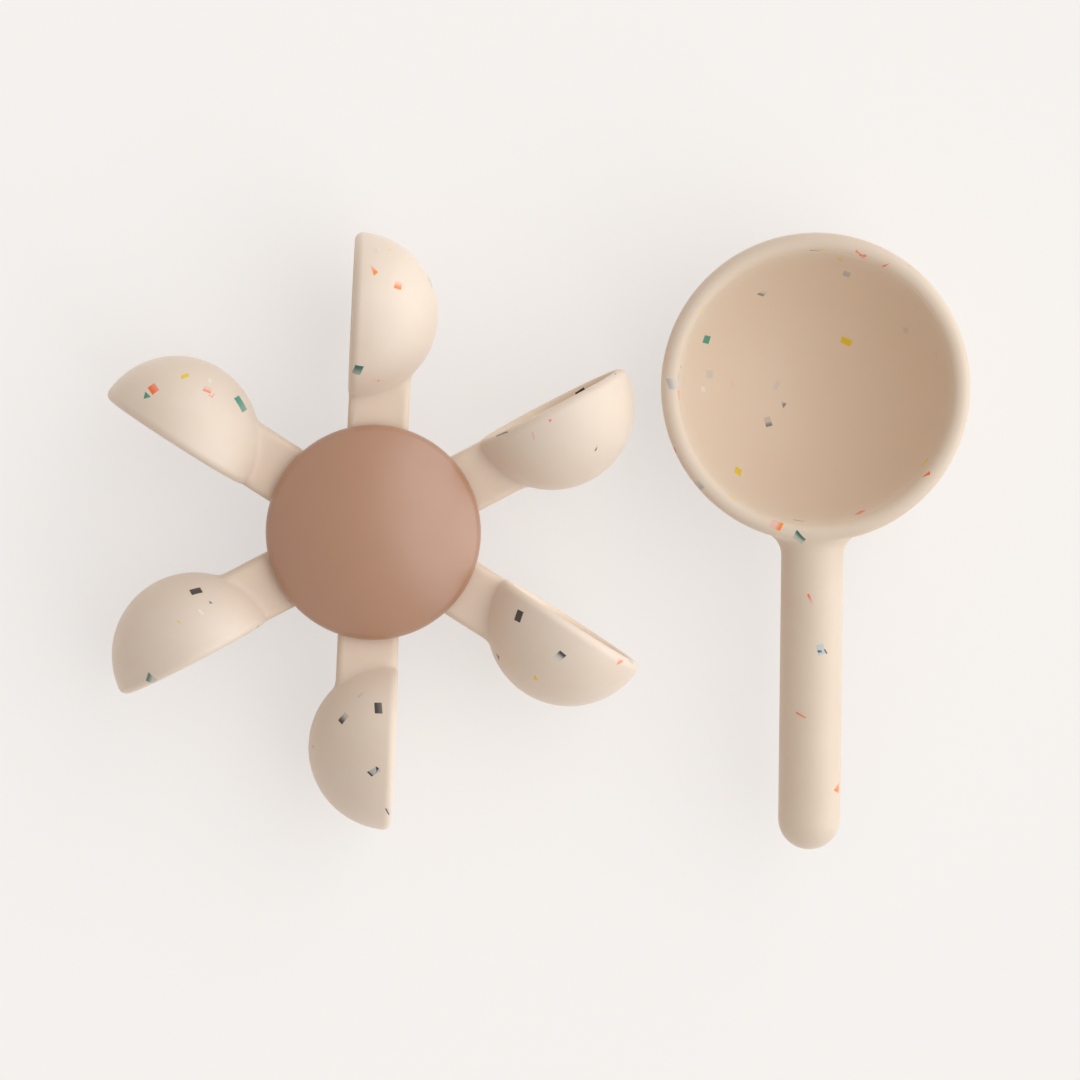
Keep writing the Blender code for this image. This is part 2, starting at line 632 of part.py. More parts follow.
def main():
    """Builds the water wheel and its pouring scoop."""
    clear_scene()
    parts = new_collection("bath_water_wheel", bpy.context.scene.collection)
    cutters = new_collection("cutters", bpy.context.scene.collection)
    wheel = bpy.data.objects.new("wheel_axis", None)
    wheel.location = (0.0, 0.0, WHEEL_PLANE)
    parts.objects.link(wheel)
    scoop_arms(parts, cutters, wheel)
    hub_shells(parts, cutters, wheel)
    for screw in screws("hub_screw", PEG_CIRCLE, HUB_TOP + GAP, 0.0, parts):
        attach(screw, wheel)
    bearing(parts, wheel)
    axle_pin(parts)
    hub_cap(parts)
    suction_cup(parts)
    base_housing(parts, cutters)
    suction_retainer(parts, cutters)
    screws("base_screw", HOUSING_BOSS_CIRCLE, RETAINER_BOTTOM + COUNTERBORE_DEPTH - GAP, math.pi, parts)
    pouring_scoop(parts, cutters)


main()
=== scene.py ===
"""The looks of the bath water wheel and its pouring scoop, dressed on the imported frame.

The six arms, the cap, the base and the scoop get fine soft-edged meshes, and every surface gets its
finish: cream plastic with coloured flakes moulded in, satin clay plastic, silicone and steel.
"""

import math
from collections import namedtuple

import bmesh
import bpy
from mathutils import Matrix, Vector


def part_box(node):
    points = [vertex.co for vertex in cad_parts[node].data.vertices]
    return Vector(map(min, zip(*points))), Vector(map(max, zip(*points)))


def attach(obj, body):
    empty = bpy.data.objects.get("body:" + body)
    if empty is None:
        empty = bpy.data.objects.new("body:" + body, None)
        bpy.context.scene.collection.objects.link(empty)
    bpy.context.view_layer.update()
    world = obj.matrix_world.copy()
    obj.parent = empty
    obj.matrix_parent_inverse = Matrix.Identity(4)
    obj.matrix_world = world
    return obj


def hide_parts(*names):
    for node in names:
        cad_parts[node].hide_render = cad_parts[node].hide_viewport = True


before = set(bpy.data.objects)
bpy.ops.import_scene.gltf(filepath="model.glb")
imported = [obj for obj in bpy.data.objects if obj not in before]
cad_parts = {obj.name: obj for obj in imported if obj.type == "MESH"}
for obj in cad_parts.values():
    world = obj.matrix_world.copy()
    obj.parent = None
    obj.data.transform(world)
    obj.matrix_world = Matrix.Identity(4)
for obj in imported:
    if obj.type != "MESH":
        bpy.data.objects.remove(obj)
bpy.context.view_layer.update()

# The photograph: its frame in pixels, the wheel's middle in it and the way that it looks
PHOTO_WIDTH = 1080.0
WHEEL_PIXEL = (373.14, 531.21)
PIXELS_PER_METRE = 3571.0
CAMERA_DISTANCE = 3.0
SENSOR = 36.0
CLIP_END = 50.0
ROLL = math.radians(2.70)
LEAN_UP = math.radians(2.83)
LEAN_RIGHT = math.radians(-1.36)

# Trims of the outlines to the photograph, over the solids' boxes
BOWL_OUTWARD = 0.00035
BOWL_FORWARD = 0.00050
CAP_WIDER = 0.0004
SCOOP_LOWER = 0.0009

# Scoop arms, from the first arm's box and the moulding's own sizes
arm_low, arm_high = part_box("scoop_arm_1")
ARM_COUNT = 6
BOWL_RADIUS = (arm_high.z - arm_low.z) / 2
WHEEL_PLANE = (arm_high.z + arm_low.z) / 2
BOWL_REACH = arm_high.y - BOWL_RADIUS + BOWL_OUTWARD
BOWL_OFFSET = BOWL_RADIUS - arm_high.x + BOWL_FORWARD
ARM_HALF_WIDTH = -arm_low.x
TONGUE_ROOT = arm_low.y
BAR_ROOT = 0.0156
ARM_THICKNESS = 0.0090
ARM_EDGE_ROUND = 0.0019
TONGUE_SHARE = 0.56
TONGUE_INSET = 0.05
PEG_CIRCLE = 0.0200
PEG_HOLE = 0.0027
BOWL_WALL = 0.0031
BOWL_RISE = 0.0010
INNER_LIP = 0.0009
JOINT_REACH = 0.0050
ARM_VOXEL = 0.00042

# Cap
cap_low, cap_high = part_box("hub_cap")
CAP_RADIUS = cap_high.x + CAP_WIDER
CAP_WALL = 0.0024
CAP_EDGE_ROUND = 0.0036
CAP_DOME_RADIUS = 0.0520
CAP_SOCKET = 0.0043
CAP_BOSS = 0.0071
GAP = 0.0003

# Suction base and hub shells, behind the cap
bell_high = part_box("suction_cup")[1]
post_low, post_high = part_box("base_housing")
plate_low, plate_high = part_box("suction_retainer")
rear_low, rear_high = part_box("hub_rear")
front_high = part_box("hub_front")[1]
SOFT_EDGE = 0.0005
BELL_HEIGHT = 0.0080
BELL_LIP = 0.0009
BELL_LIP_FACE = 0.0020
BELL_HOLLOW = 0.0045
BELL_SHOULDER = 0.0110
BELL_NECK = 0.0060
BELL_HEAD = 0.0085
BELL_HEAD_BOTTOM = 0.0122
POST_WALL = 0.0022
POST_PLATE = 0.0028
POST_ROUND = 0.0035
POST_BOSS = 0.0026
POST_SCREWS = 0.0123
POST_HOLE_TOP = 0.0174
SCREW_COUNT = 3
SCREW_HOLE = 0.0013
SCREW_SEAT = 0.0025
SCREW_SEAT_DEPTH = 0.0021
SHELL_PLATE = 0.0025
SHELL_ROUND = 0.0010
SHELL_BORE = 0.0066
SHELL_BOSS = 0.0100
SHELL_HOLE_BOTTOM = 0.0303

# Pouring scoop
scoop_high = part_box("pouring_scoop")[1]
SCOOP_RADIUS = 0.0433
SCOOP_X = scoop_high.x - SCOOP_RADIUS
SCOOP_Y = scoop_high.y - SCOOP_RADIUS - SCOOP_LOWER
SCOOP_CENTRE = 0.03866
SCOOP_FLOOR = 0.0030
LIP_RADIUS = 0.0026
HANDLE_JOINT_REACH = 0.0060
HANDLE_RADIUS = 0.00875
HANDLE_AXIS = 0.02941
HANDLE_TIP = 0.12130
HANDLE_WALL = 0.0022
HANDLE_ROOF = 0.0055
HOLLOW_RADIUS = HANDLE_RADIUS - HANDLE_WALL
HOLLOW_START = -SCOOP_RADIUS - HANDLE_WALL - HOLLOW_RADIUS
HOLLOW_SHORTER = 0.0020
HOLLOW_END = HOLLOW_SHORTER - HANDLE_TIP
HANDLE_FLARE = 0.0062
HOLLOW_RIM_REACH = 0.0011
SCOOP_TURN = math.radians(2.10)
SCOOP_VOXEL = 0.00066

# Light: a broad low key from the right for each of the two items, each with its power, its spread
# and its direction as right, up and back of the camera; an even surround; the floor, with how much
# of its own glow it shows
KEY_COLOUR = (0.91, 0.97, 1.0)
WHEEL_KEY = (2.75, math.radians(105.0), (1.0, 0.18, 0.45))
SCOOP_KEY = (2.45, math.radians(110.0), (1.0, 0.10, 0.47))
SURROUND = 0.55
SURROUND_COLOUR = (1.0, 0.925, 0.855, 1.0)
FLOOR_GLOW = 0.54
FLOOR_SIZE = 12.0
FLOOR_DROP = 0.0002
FLOOR_ROUGHNESS = 0.9

# Facets round a turn, and along the arcs of the profiles
TURN_STEPS = 128
BALL_SEGMENTS = 96
BALL_RINGS = 48
ROD_STEPS = 48
SCOOP_STEPS = 36
BELL_STEPS = 30
DOME_STEPS = 28
HOLLOW_STEPS = 24
LIP_STEPS = 16
POST_STEPS = 14
EDGE_STEPS = 12
CAP_LIP_STEPS = 10
FLARE_STEPS = 10
ROUND_STEPS = 8
BEVEL_STEPS = 6
SOFT_STEPS = 5
PLATE_STEPS = 3
MERGE_DISTANCE = 0.00001
POINT_SIZE = 0.001
LONG_EDGE = 0.02
TURN_SMOOTH_ANGLE = math.radians(40.0)
SMOOTH_ANGLE = math.radians(35.0)

# Smoothing: its passes over a whole skin, at the joints and at the hollow's rim, and how far past
# full strength a point on the joint's own line is, so that the full strength has some breadth
EASE_FACTOR = 0.5
ARM_PASSES = 3
SCOOP_PASSES = 4
BOWL_JOINT_PASSES = 70
HANDLE_JOINT_PASSES = 60
HOLLOW_RIM_PASSES = 14
JOINT_CORE = 1.25
RIM_CORE = 1.5

# Colours, in linear light
CREAM = (0.768, 0.654, 0.556, 1.0)
CREAM_DEEP = (0.712, 0.579, 0.472, 1.0)
# Painted warm shade near the hub, standing in for the cap's shadow and its brown bounce on the arms
CREAM_ROOT_PAINTED_SHADE = (0.770, 0.612, 0.482, 1.0)
# Painted bounce light, lighter and warmer, inside the arms' bowls
CREAM_PAINTED_BOUNCE = (0.930, 0.800, 0.660, 1.0)
SCOOP_CREAM = (0.732, 0.612, 0.500, 1.0)
SCOOP_DEEP = (0.680, 0.543, 0.428, 1.0)
# Painted bounce light, lighter and warmer, inside the scoop's bowl
SCOOP_PAINTED_BOUNCE = (0.785, 0.632, 0.492, 1.0)
CLAY = (0.410, 0.207, 0.121, 1.0)
CLAY_DEEP = (0.375, 0.185, 0.106, 1.0)
BACKGROUND = (0.913, 0.880, 0.855, 1.0)
FLOOR = (0.955, 0.880, 0.830, 1.0)
FLOOR_SHOWN = (0.972, 0.985, 0.992, 1.0)
ORANGE = (0.88, 0.135, 0.010, 1.0)
AMBER = (0.90, 0.230, 0.018, 1.0)
PINK = (0.84, 0.39, 0.31, 1.0)
YELLOW = (0.78, 0.55, 0.004, 1.0)
TEAL = (0.010, 0.27, 0.190, 1.0)
DEEP_TEAL = (0.008, 0.115, 0.090, 1.0)
PALE_TEAL = (0.27, 0.40, 0.34, 1.0)
DARK = (0.036, 0.023, 0.022, 1.0)
DEEP_GREY = (0.105, 0.115, 0.112, 1.0)
BLUE_GREY = (0.33, 0.36, 0.37, 1.0)
PALE_BLUE = (0.48, 0.53, 0.55, 1.0)
WHITE = (0.87, 0.84, 0.80, 1.0)
RED = (0.72, 0.11, 0.050, 1.0)
ACETAL = (0.80, 0.79, 0.76, 1.0)
ACETAL_DEEP = (0.74, 0.73, 0.69, 1.0)
STEEL = (0.68, 0.68, 0.68, 1.0)
STEEL_DEEP = (0.52, 0.52, 0.53, 1.0)

# Finishes: the shader's own inputs, and the satin skin's clouds, grain and waves
PLAIN_SHINE = {"Specular IOR Level": 0.80}
CLAY_SHINE = {"Specular IOR Level": 0.80, "Coat Weight": 0.55, "Coat Roughness": 0.36}
CREAM_SHINE = {
    "Specular IOR Level": 0.45,
    "Sheen Weight": 0.52,
    "Sheen Roughness": 0.50,
    "Sheen Tint": (1.0, 0.93, 0.84, 1.0),
    "Subsurface Weight": 0.10,
    "Subsurface Radius": (0.0030, 0.0018, 0.0011),
    "Subsurface Scale": 1.0,
}
CREAM_ROUGHNESS = 0.50
CLAY_ROUGHNESS = 0.42
SILICONE_ROUGHNESS = 0.62
ACETAL_ROUGHNESS = 0.38
STEEL_ROUGHNESS = (0.22, 0.36)
CLOUD_SCALE = 55.0
CLOUD_SHARE = 0.35
GRAIN_SCALE = 2600.0
GRAIN_SHARE = 0.12
WAVE_SCALE = 160.0
GLOSS_CHANGE = 0.05
GRAIN_STRENGTH = 0.12
GRAIN_HEIGHT = 0.00010
SILICONE_GRAIN = 0.00014
ACETAL_GRAIN = 0.00006
TURNING_SCALE = 700.0
TURNING_SQUEEZE = 14.0

# The colour sockets of a Mix node, by their places
MIX_SHARE = 0
MIX_FIRST = 6
MIX_SECOND = 7
MIX_RESULT = 2

# A flake that the photograph shows: the pixels of three of its corners, its colour, the colour of the end
# that sinks away, how fast it sinks, its strength, and its cut (2 leaves four corners, 0 only the three)
Flake = namedtuple(
    "Flake",
    "root end side colour deep sink strength cut",
    defaults=(PINK, 0.0, 1.0, 2.0),
)
MOST_STRETCH = 3.0
FLAKE_DEPTH = 0.0011
DEPTH_FADE_START = 0.6
SINK_START = -0.7
SINK_FADE = 0.50
CLEAR_SOFTNESS = 0.08
FAINT_SOFTNESS = 0.6

# Loose flakes: cells a metre, the reach of half lengths and widths as 1 / metres, cuts and softness,
# and the upward part of a normal below which they show
LOOSE_FLAKE_DEPTH = 0.0022
LOOSE_CELLS = 118.0
LOOSE_LENGTHS = (1000.0, 550.0)
LOOSE_WIDTHS = (1400.0, 770.0)
LOOSE_CUTS = (0.5, 2.0)
LOOSE_SOFTNESS = 0.10
LOOSE_MARGIN = BOWL_WALL / 5
LOOSE_COLOURS = (ORANGE, DARK, YELLOW, TEAL, PINK, BLUE_GREY, DARK, WHITE)
LOOKS_DOWN = -0.25
LOOKS_ASIDE = -0.12

# A piece's bowl, the way it opens, the piece's two colours, the colour of the painted bounce light inside
# the bowl and of the painted warm shade at the root, and the shift of its loose flakes, which start at a
# depth below the bowl's mouth
BowlLook = namedtuple("BowlLook", "centre hollow opening light deep inside root shift")
# Painted warm shade near the hub: where it starts and ends out from the axle, and its share at the hub
ROOT_SHADE_START = 0.031
ROOT_SHADE_END = 0.050
ROOT_SHADE_SHARE = 0.70
# Share of the painted bounce light inside a bowl
PAINTED_BOUNCE_SHARE = 0.85
LOOSE_FLAKES_BELOW = 0.0040
ARM_FIELD_SHIFT = {3: 0.0043, 4: 0.0026}

ARM_FLAKES = {
    1: [
        Flake((364, 367), (360, 375.5), (355.5, 365), DEEP_TEAL, PALE_TEAL, 0.6),
        Flake((378.4, 272), (369.5, 264), (374, 276), AMBER, PINK, 0.9, 1.0, 0.0),
        Flake((393.7, 288), (395.5, 280.5), (401, 290), AMBER, PINK, 1.1),
        Flake((386, 250.5), (393.5, 253.5), (389, 247), YELLOW, CREAM, 1.2, 0.45),
        Flake((372.5, 248.5), (375.5, 255), (376.5, 247.5), PALE_BLUE, CREAM, 0.4, 0.40),
        Flake((427.2, 277), (431.8, 288), (428.6, 276.5), BLUE_GREY, CREAM, 0.0, 0.80),
        Flake((376.5, 380.5), (378.8, 382), (378, 379.5), ORANGE, PINK, 0.3, 0.70),
        Flake((370, 381.5), (376, 377.5), (371.5, 382.5), PINK, CREAM, 0.3, 0.35),
    ],
    2: [
        Flake((574.7, 393), (583.8, 387), (576.7, 396), DARK),
        Flake((618.3, 371.6), (621.6, 370.6), (618.6, 369.8), YELLOW),
        Flake((614, 373.8), (616.2, 372.7), (614.4, 374.8), DARK, BLUE_GREY, 0.5),
        Flake((496.4, 437.2), (507.5, 431.6), (496.0, 436.0), DARK, PINK, 0.0, 0.80),
        Flake((547.8, 419.3), (552.2, 419.3), (550.3, 422.6), ORANGE, PINK, 0.2, 0.90, 0.0),
        Flake((531.5, 432), (533.2, 440.2), (533.4, 431.6), PINK, CREAM, 0.1, 0.75),
        Flake((594.3, 452), (596.2, 445), (596.6, 450.5), DARK, PALE_BLUE, 1.3, 0.85),
        Flake((502, 463), (508.5, 469), (504, 461), PALE_BLUE, CREAM, 0.3, 0.22),
    ],
    3: [
        Flake((517.5, 609), (513.8, 620), (523.6, 612), DARK),
        Flake((566.6, 655.7), (560, 661.6), (560.2, 650.3), DARK, PALE_BLUE, 1.2),
        Flake((533, 679.5), (534.5, 673.3), (538.5, 681), YELLOW, YELLOW, 0.5, 0.90, 0.0),
        Flake((619, 665.7), (617.5, 657), (624.3, 661), ORANGE, PINK, 1.7, 0.75, 0.0),
        Flake((628, 660.3), (633.3, 664.1), (628.5, 659.3), BLUE_GREY, CREAM, 0.0, 0.80),
        Flake((498.8, 661.5), (494, 650.5), (499.6, 656.5), DARK, PALE_BLUE, 1.0, 0.90, 0.0),
    ],
    4: [
        Flake((373.9, 702.3), (381.8, 702.4), (374.8, 713.5), DARK, BLUE_GREY, 0.2),
        Flake((337.7, 720.2), (345, 711.7), (341.7, 724.7), DARK, BLUE_GREY, 1.2),
        Flake((366.7, 772.3), (376.5, 765.8), (371.8, 777), BLUE_GREY, PALE_BLUE, 0.4, 0.80),
        Flake((366.7, 772), (368.6, 771), (371.5, 776.6), DARK),
        Flake((379.2, 768), (376.5, 772.8), (375.5, 766.2), DARK, BLUE_GREY, 0.3, 1.0, 0.0),
        Flake((385.9, 809), (390.5, 808), (388.8, 815), PALE_BLUE, CREAM, 0.4, 0.40),
        Flake((385.3, 809.3), (388.5, 815.3), (386.6, 808.7), DARK),
        Flake((356.5, 697), (363, 691), (358.3, 698.8), BLUE_GREY, CREAM, 0.4, 0.40),
        Flake((362.5, 668), (366, 667), (363, 671), PALE_BLUE, CREAM, 0.3, 0.20),
        Flake((317.8, 709), (316.6, 713), (316.6, 708.7), RED, PINK, 0.3, 0.80),
        Flake((313.5, 719), (312.7, 722), (312.3, 718.8), RED, PINK, 0.3, 0.80),
        Flake((312, 745.3), (312.8, 748.2), (313.5, 745), RED, PINK, 0.3, 0.75),
        Flake((396.2, 718.5), (396.4, 724.3), (397.6, 718.5), YELLOW, CREAM, 0.2, 0.40),
    ],
    5: [
        Flake((188.8, 589.8), (200, 587), (192, 595), DARK),
        Flake((208.6, 600.6), (214, 603), (210, 604), DEEP_TEAL, PALE_BLUE, 0.9, 0.90, 0.0),
        Flake((197.5, 610), (202.5, 615.5), (199.5, 608.5), WHITE, CREAM, 0.2, 0.65),
        Flake((177, 620), (183, 623), (177.3, 622.7), YELLOW, CREAM, 0.9, 0.75),
        Flake((147.5, 673.3), (158, 679), (145, 681), DEEP_TEAL, PALE_TEAL, 2.2, 0.85),
        Flake((256.2, 627.8), (258.3, 624.8), (257.4, 628.4), DARK, BLUE_GREY, 0.6, 0.70),
    ],
    6: [
        Flake((152.5, 395), (159.5, 390), (147, 387.5), ORANGE, PINK, 0.3),
        Flake((143.4, 399), (151.4, 397), (145, 391.2), TEAL, DEEP_TEAL, 0.5, 1.0, 0.0),
        Flake((180, 376), (187.5, 372.8), (182.2, 379.3), YELLOW),
        Flake((207.5, 380.5), (210.5, 384), (209.5, 377.5), WHITE, CREAM, 0.2, 0.50),
        Flake((202.3, 390.5), (204.5, 385), (210.8, 394), ORANGE, PINK, 2.0, 0.80),
        Flake((208.4, 395.2), (211.5, 397.6), (209, 394.2), ORANGE, PINK, 0.4, 0.70),
        Flake((211, 397.6), (214.2, 392.2), (212.3, 398), ORANGE, PINK, 0.7, 0.70),
        Flake((239, 394.8), (247.7, 409.4), (234.3, 398), TEAL, PALE_TEAL, 0.25),
        Flake((251, 401.8), (254.4, 408.2), (252, 401.3), RED, PINK, 0.2, 0.80),
    ],
}

SCOOP_FLAKES = [
    Flake((854.8, 251), (860.4, 255.9), (856.2, 249.6), ORANGE, PINK, 0.3, 0.80),
    Flake((858.8, 254), (866.5, 255.2), (859.2, 256.2), ORANGE, PINK, 0.2, 0.85),
    Flake((866.6, 255.2), (863, 259), (864.8, 254.6), ORANGE, PINK, 0.7, 0.75),
    Flake((882, 265.2), (890.2, 263.6), (883, 268.2), ORANGE, ORANGE, 0.3, 0.90, 0.0),
    Flake((906.5, 263.6), (912.8, 268.6), (905.8, 265), PINK, CREAM, 0.3, 0.50),
    Flake((809, 249.8), (821, 250.4), (809, 251.1), DARK, CREAM, 0.0, 0.70),
    Flake((820.5, 249), (828, 249.6), (820.5, 250.3), YELLOW, CREAM, 0.2, 0.65),
    Flake((844.2, 261.3), (832.8, 259.2), (839.6, 257.4), YELLOW, CREAM, 0.9, 1.0, 0.0),
    Flake((841.6, 275.2), (849.8, 278), (843.6, 270.2), BLUE_GREY, BLUE_GREY, 0.3, 0.65),
    Flake((756, 294.6), (762, 289.8), (763, 296.6), DEEP_GREY, PALE_BLUE, 1.6, 0.80),
    Flake((704.5, 335), (702, 342.8), (711, 336.2), TEAL),
    Flake((842, 336), (852.5, 340.6), (840, 342.3), YELLOW),
    Flake((735.6, 466), (734, 472.6), (742, 470), YELLOW),
    Flake((705.3, 369.3), (713.7, 369.3), (705.3, 379), PALE_BLUE, PALE_BLUE, 0.0, 0.50),
    Flake((771.5, 389), (776, 378.5), (777.5, 391), PALE_BLUE, PALE_BLUE, 0.3, 0.35),
    Flake((902.3, 326), (908.8, 327), (902.8, 333.5), BLUE_GREY, BLUE_GREY, 0.2, 0.25),
    Flake((700.5, 386.5), (701.6, 393), (705, 386), WHITE, CREAM, 0.3, 0.60),
    Flake((892.4, 494.9), (901, 489), (892, 493.8), WHITE, CREAM, 0.2, 0.50),
    Flake((730, 377.5), (735, 378), (730.5, 388), PINK, CREAM, 0.2, 0.20),
    Flake((934, 351), (936, 360.5), (936.8, 350.5), PINK, CREAM, 0.2, 0.25),
    Flake((783.4, 409), (780, 400.5), (787, 403.5), DEEP_GREY, PALE_BLUE, 1.2, 0.80, 0.0),
    Flake((766, 427.8), (763, 417.4), (773, 426), DEEP_GREY, BLUE_GREY, 2.4, 0.85),
    Flake((921, 465.4), (927.3, 456.9), (922.8, 467.5), YELLOW),
    Flake((930.2, 470.8), (920.8, 477.8), (930, 474.5), ORANGE, ORANGE, 0.0, 1.0, 0.0),
    Flake((854, 515.1), (860, 510.3), (860.3, 514.8), ORANGE),
    Flake((784.2, 523.5), (773, 519), (780, 531), AMBER, PINK, 2.6),
    Flake((793, 518.9), (804.5, 521.3), (792.8, 520.1), DARK, BLUE_GREY, 0.2, 0.80),
    Flake((796.4, 531.6), (792.4, 537.4), (806, 539.2), DEEP_TEAL, PALE_TEAL, 1.9),
    Flake((665, 378), (676, 378), (669, 390), BLUE_GREY, PALE_BLUE, 1.4, 0.65),
    Flake((679.4, 366), (681, 371), (680.8, 365.5), DARK, BLUE_GREY, 0.5, 0.70),
    Flake((678.8, 372), (677.2, 381.5), (679.8, 372.2), BLUE_GREY, PALE_BLUE, 0.4, 0.60),
    Flake((678, 389.5), (678.8, 401.5), (679.5, 389.3), ORANGE, PINK, 0.4, 0.60),
    Flake((666.5, 359), (670.5, 355.3), (667.4, 360.4), PINK, CREAM, 0.3, 0.50),
    Flake((698.7, 313.5), (706.1, 303.5), (699.7, 314.2), YELLOW, CREAM, 0.1, 0.65),
    Flake((709.9, 475.1), (716, 482), (710.8, 474.3), YELLOW, CREAM, 0.1, 0.60),
    Flake((728, 495.2), (736.6, 500.8), (728.7, 494), YELLOW, CREAM, 0.1, 0.75),
    Flake((705.3, 487.8), (697.8, 479.8), (700.8, 490.8), BLUE_GREY, PALE_BLUE, 0.7, 0.65),
    Flake((672.7, 447), (675.2, 452.6), (674.5, 447.3), RED, RED, 0.0, 0.85),
    Flake((806.6, 594.4), (811.8, 605.2), (808.8, 593.3), ORANGE, PINK, 1.2, 0.90),
    Flake((818.3, 656.3), (815.3, 645.4), (826.2, 653.7), PALE_BLUE, PALE_BLUE, 0.0, 0.90),
    Flake((817, 650.2), (821.6, 650), (817.8, 652.8), DARK, DARK, 0.5, 0.90),
    Flake((823.8, 649.4), (826.3, 654), (825, 648.9), DARK),
    Flake((795, 712.9), (805.5, 718.9), (795.9, 711.3), ORANGE, ORANGE, 0.4, 0.85),
    Flake((842, 694), (841.8, 681), (843.2, 694), TEAL, PALE_TEAL, 0.9, 0.75),
    Flake((835.2, 790.5), (839.8, 779.5), (838.4, 793.4), AMBER, PINK, 0.8, 1.0, 0.0),
    Flake((838.8, 776.8), (839.3, 772), (840, 776.8), PINK, CREAM, 0.2, 0.65),
]


def select_only(piece):
    """Makes one piece the only selected and the active one."""
    bpy.ops.object.select_all(action="DESELECT")
    piece.select_set(True)
    bpy.context.view_layer.objects.active = piece


def name_piece(name):
    """Names the active object, puts its place into its mesh and returns it."""
    piece = bpy.context.object
    piece.name = name
    piece.data.name = name
    bpy.ops.object.transform_apply(location=True, rotation=True, scale=True)
    return piece


def add_block(name, low, high):
    """A box between two corners, as the start of a piece."""
    bpy.ops.object.select_all(action="DESELECT")
    size = [b - a for a, b in zip(low, high)]
    middle = [(a + b) / 2 for a, b in zip(low, high)]
    bpy.ops.mesh.primitive_cube_add(size=1.0, location=middle, scale=size)
    return name_piece(name)


def add_ball(name, radius, centre, turn=(0.0, 0.0, 0.0), stretch=(1.0, 1.0, 1.0)):
    """A ball, as the start of a bowl or a hollow; its pole is on Z before the turn."""
    bpy.ops.object.select_all(action="DESELECT")
    bpy.ops.mesh.primitive_uv_sphere_add(
        segments=BALL_SEGMENTS,
        ring_count=BALL_RINGS,
        radius=radius,
        location=centre,
        rotation=turn,
        scale=stretch,
    )
    return name_piece(name)


def add_rod(name, radius, bottom, top, place):
    """An upright rod at (x, y), as a cutter or a peg."""
    bpy.ops.object.select_all(action="DESELECT")
    middle = (place[0], place[1], (bottom + top) / 2)
    bpy.ops.mesh.primitive_cylinder_add(
        vertices=ROD_STEPS, radius=radius, depth=top - bottom, location=middle
    )
    return name_piece(name)


def pick(kind, test):
    """Selects in edit mode the points, edges or faces of the active piece that pass a test."""
    mesh = bpy.context.object.data
    bpy.ops.mesh.select_mode(type=kind)
    bpy.ops.mesh.select_all(action="DESELECT")
    shape = bmesh.from_edit_mesh(mesh)
    for part in {"VERT": shape.verts, "EDGE": shape.edges, "FACE": shape.faces}[kind]:
        part.select_set(test(part))
    bmesh.update_edit_mesh(mesh)


def push(move):
    """Extrudes in edit mode what is selected."""
    bpy.ops.mesh.extrude_region_move(TRANSFORM_OT_translate={"value": move})


def close_skin(angle):
    """Merges the active piece's doubles, turns its normals out, leaves edit mode and shades it."""
    bpy.ops.mesh.select_all(action="SELECT")
    bpy.ops.mesh.remove_doubles(threshold=MERGE_DISTANCE)
    bpy.ops.mesh.normals_make_consistent(inside=False)
    bpy.ops.object.mode_set(mode="OBJECT")
    bpy.ops.object.shade_smooth_by_angle(angle=angle)


def apply_step(piece, step):
    """Applies one modifier of a piece."""
    select_only(piece)
    bpy.ops.object.modifier_apply(modifier=step.name)


def combine(piece, operation, tool):
    """Cuts a piece by a tool or joins the tool to it; the tool is used up."""
    step = piece.modifiers.new(operation.lower(), "BOOLEAN")
    step.operation = operation
    step.object = tool
    apply_step(piece, step)
    bpy.data.objects.remove(tool)


def melt(piece, voxel, passes):
    """Turns joined shapes into one even skin and rounds it a little, as a moulding is."""
    skin = piece.modifiers.new("skin", "REMESH")
    skin.mode = "VOXEL"
    skin.voxel_size = voxel
    skin.use_smooth_shade = True
    apply_step(piece, skin)
    ease_group(piece, passes, "")


def ease_group(piece, passes, group):
    """Smooths the points of a group, or all of them."""
    ease = piece.modifiers.new("ease", "SMOOTH")
    ease.factor = EASE_FACTOR
    ease.iterations = passes
    ease.vertex_group = group
    apply_step(piece, ease)


def fillet(piece, name, passes, closeness):
    """Rounds the inner corner where two shapes of a moulding meet; closeness gives each point's share."""
    group = piece.vertex_groups.new(name=name)
    for vertex in piece.data.vertices:
        share = closeness(vertex.co)
        if share > 0.0:
            group.add([vertex.index], min(share, 1.0), "REPLACE")
    ease_group(piece, passes, name)
    piece.vertex_groups.clear()


def turn_profile(name, profile, closed=False):
    """Draws a line of (radius, height) points from one vertex and spins it round the axle."""
    bpy.ops.object.select_all(action="DESELECT")
    start_radius, start_height = profile[0]
    bpy.ops.mesh.primitive_plane_add(size=POINT_SIZE, location=(start_radius, 0.0, start_height))
    piece = name_piece(name)
    bpy.ops.object.mode_set(mode="EDIT")
    bpy.ops.mesh.select_mode(type="VERT")
    bpy.ops.mesh.select_all(action="SELECT")
    bpy.ops.mesh.merge(type="CENTER")
    path = list(zip(profile, profile[1:]))
    if closed:
        path.append((profile[-1], profile[0]))
    for (radius, height), (next_radius, next_height) in path:
        move = (next_radius - radius, 0.0, next_height - height)
        push(move)
    bpy.ops.mesh.select_all(action="SELECT")
    bpy.ops.mesh.spin(
        steps=TURN_STEPS, angle=2 * math.pi, center=(0.0, 0.0, 0.0), axis=(0.0, 0.0, 1.0)
    )
    close_skin(TURN_SMOOTH_ANGLE)
    return piece


def arc(centre_radius, centre_height, radius, start, end, steps, height=None):
    """Points (radius, height) of a round stretch between two angles in degrees."""
    height = radius if height is None else height
    points = []
    for step in range(steps + 1):
        angle = math.radians(start + (end - start) * step / steps)
        points.append((centre_radius + radius * math.cos(angle), centre_height + height * math.sin(angle)))
    return points


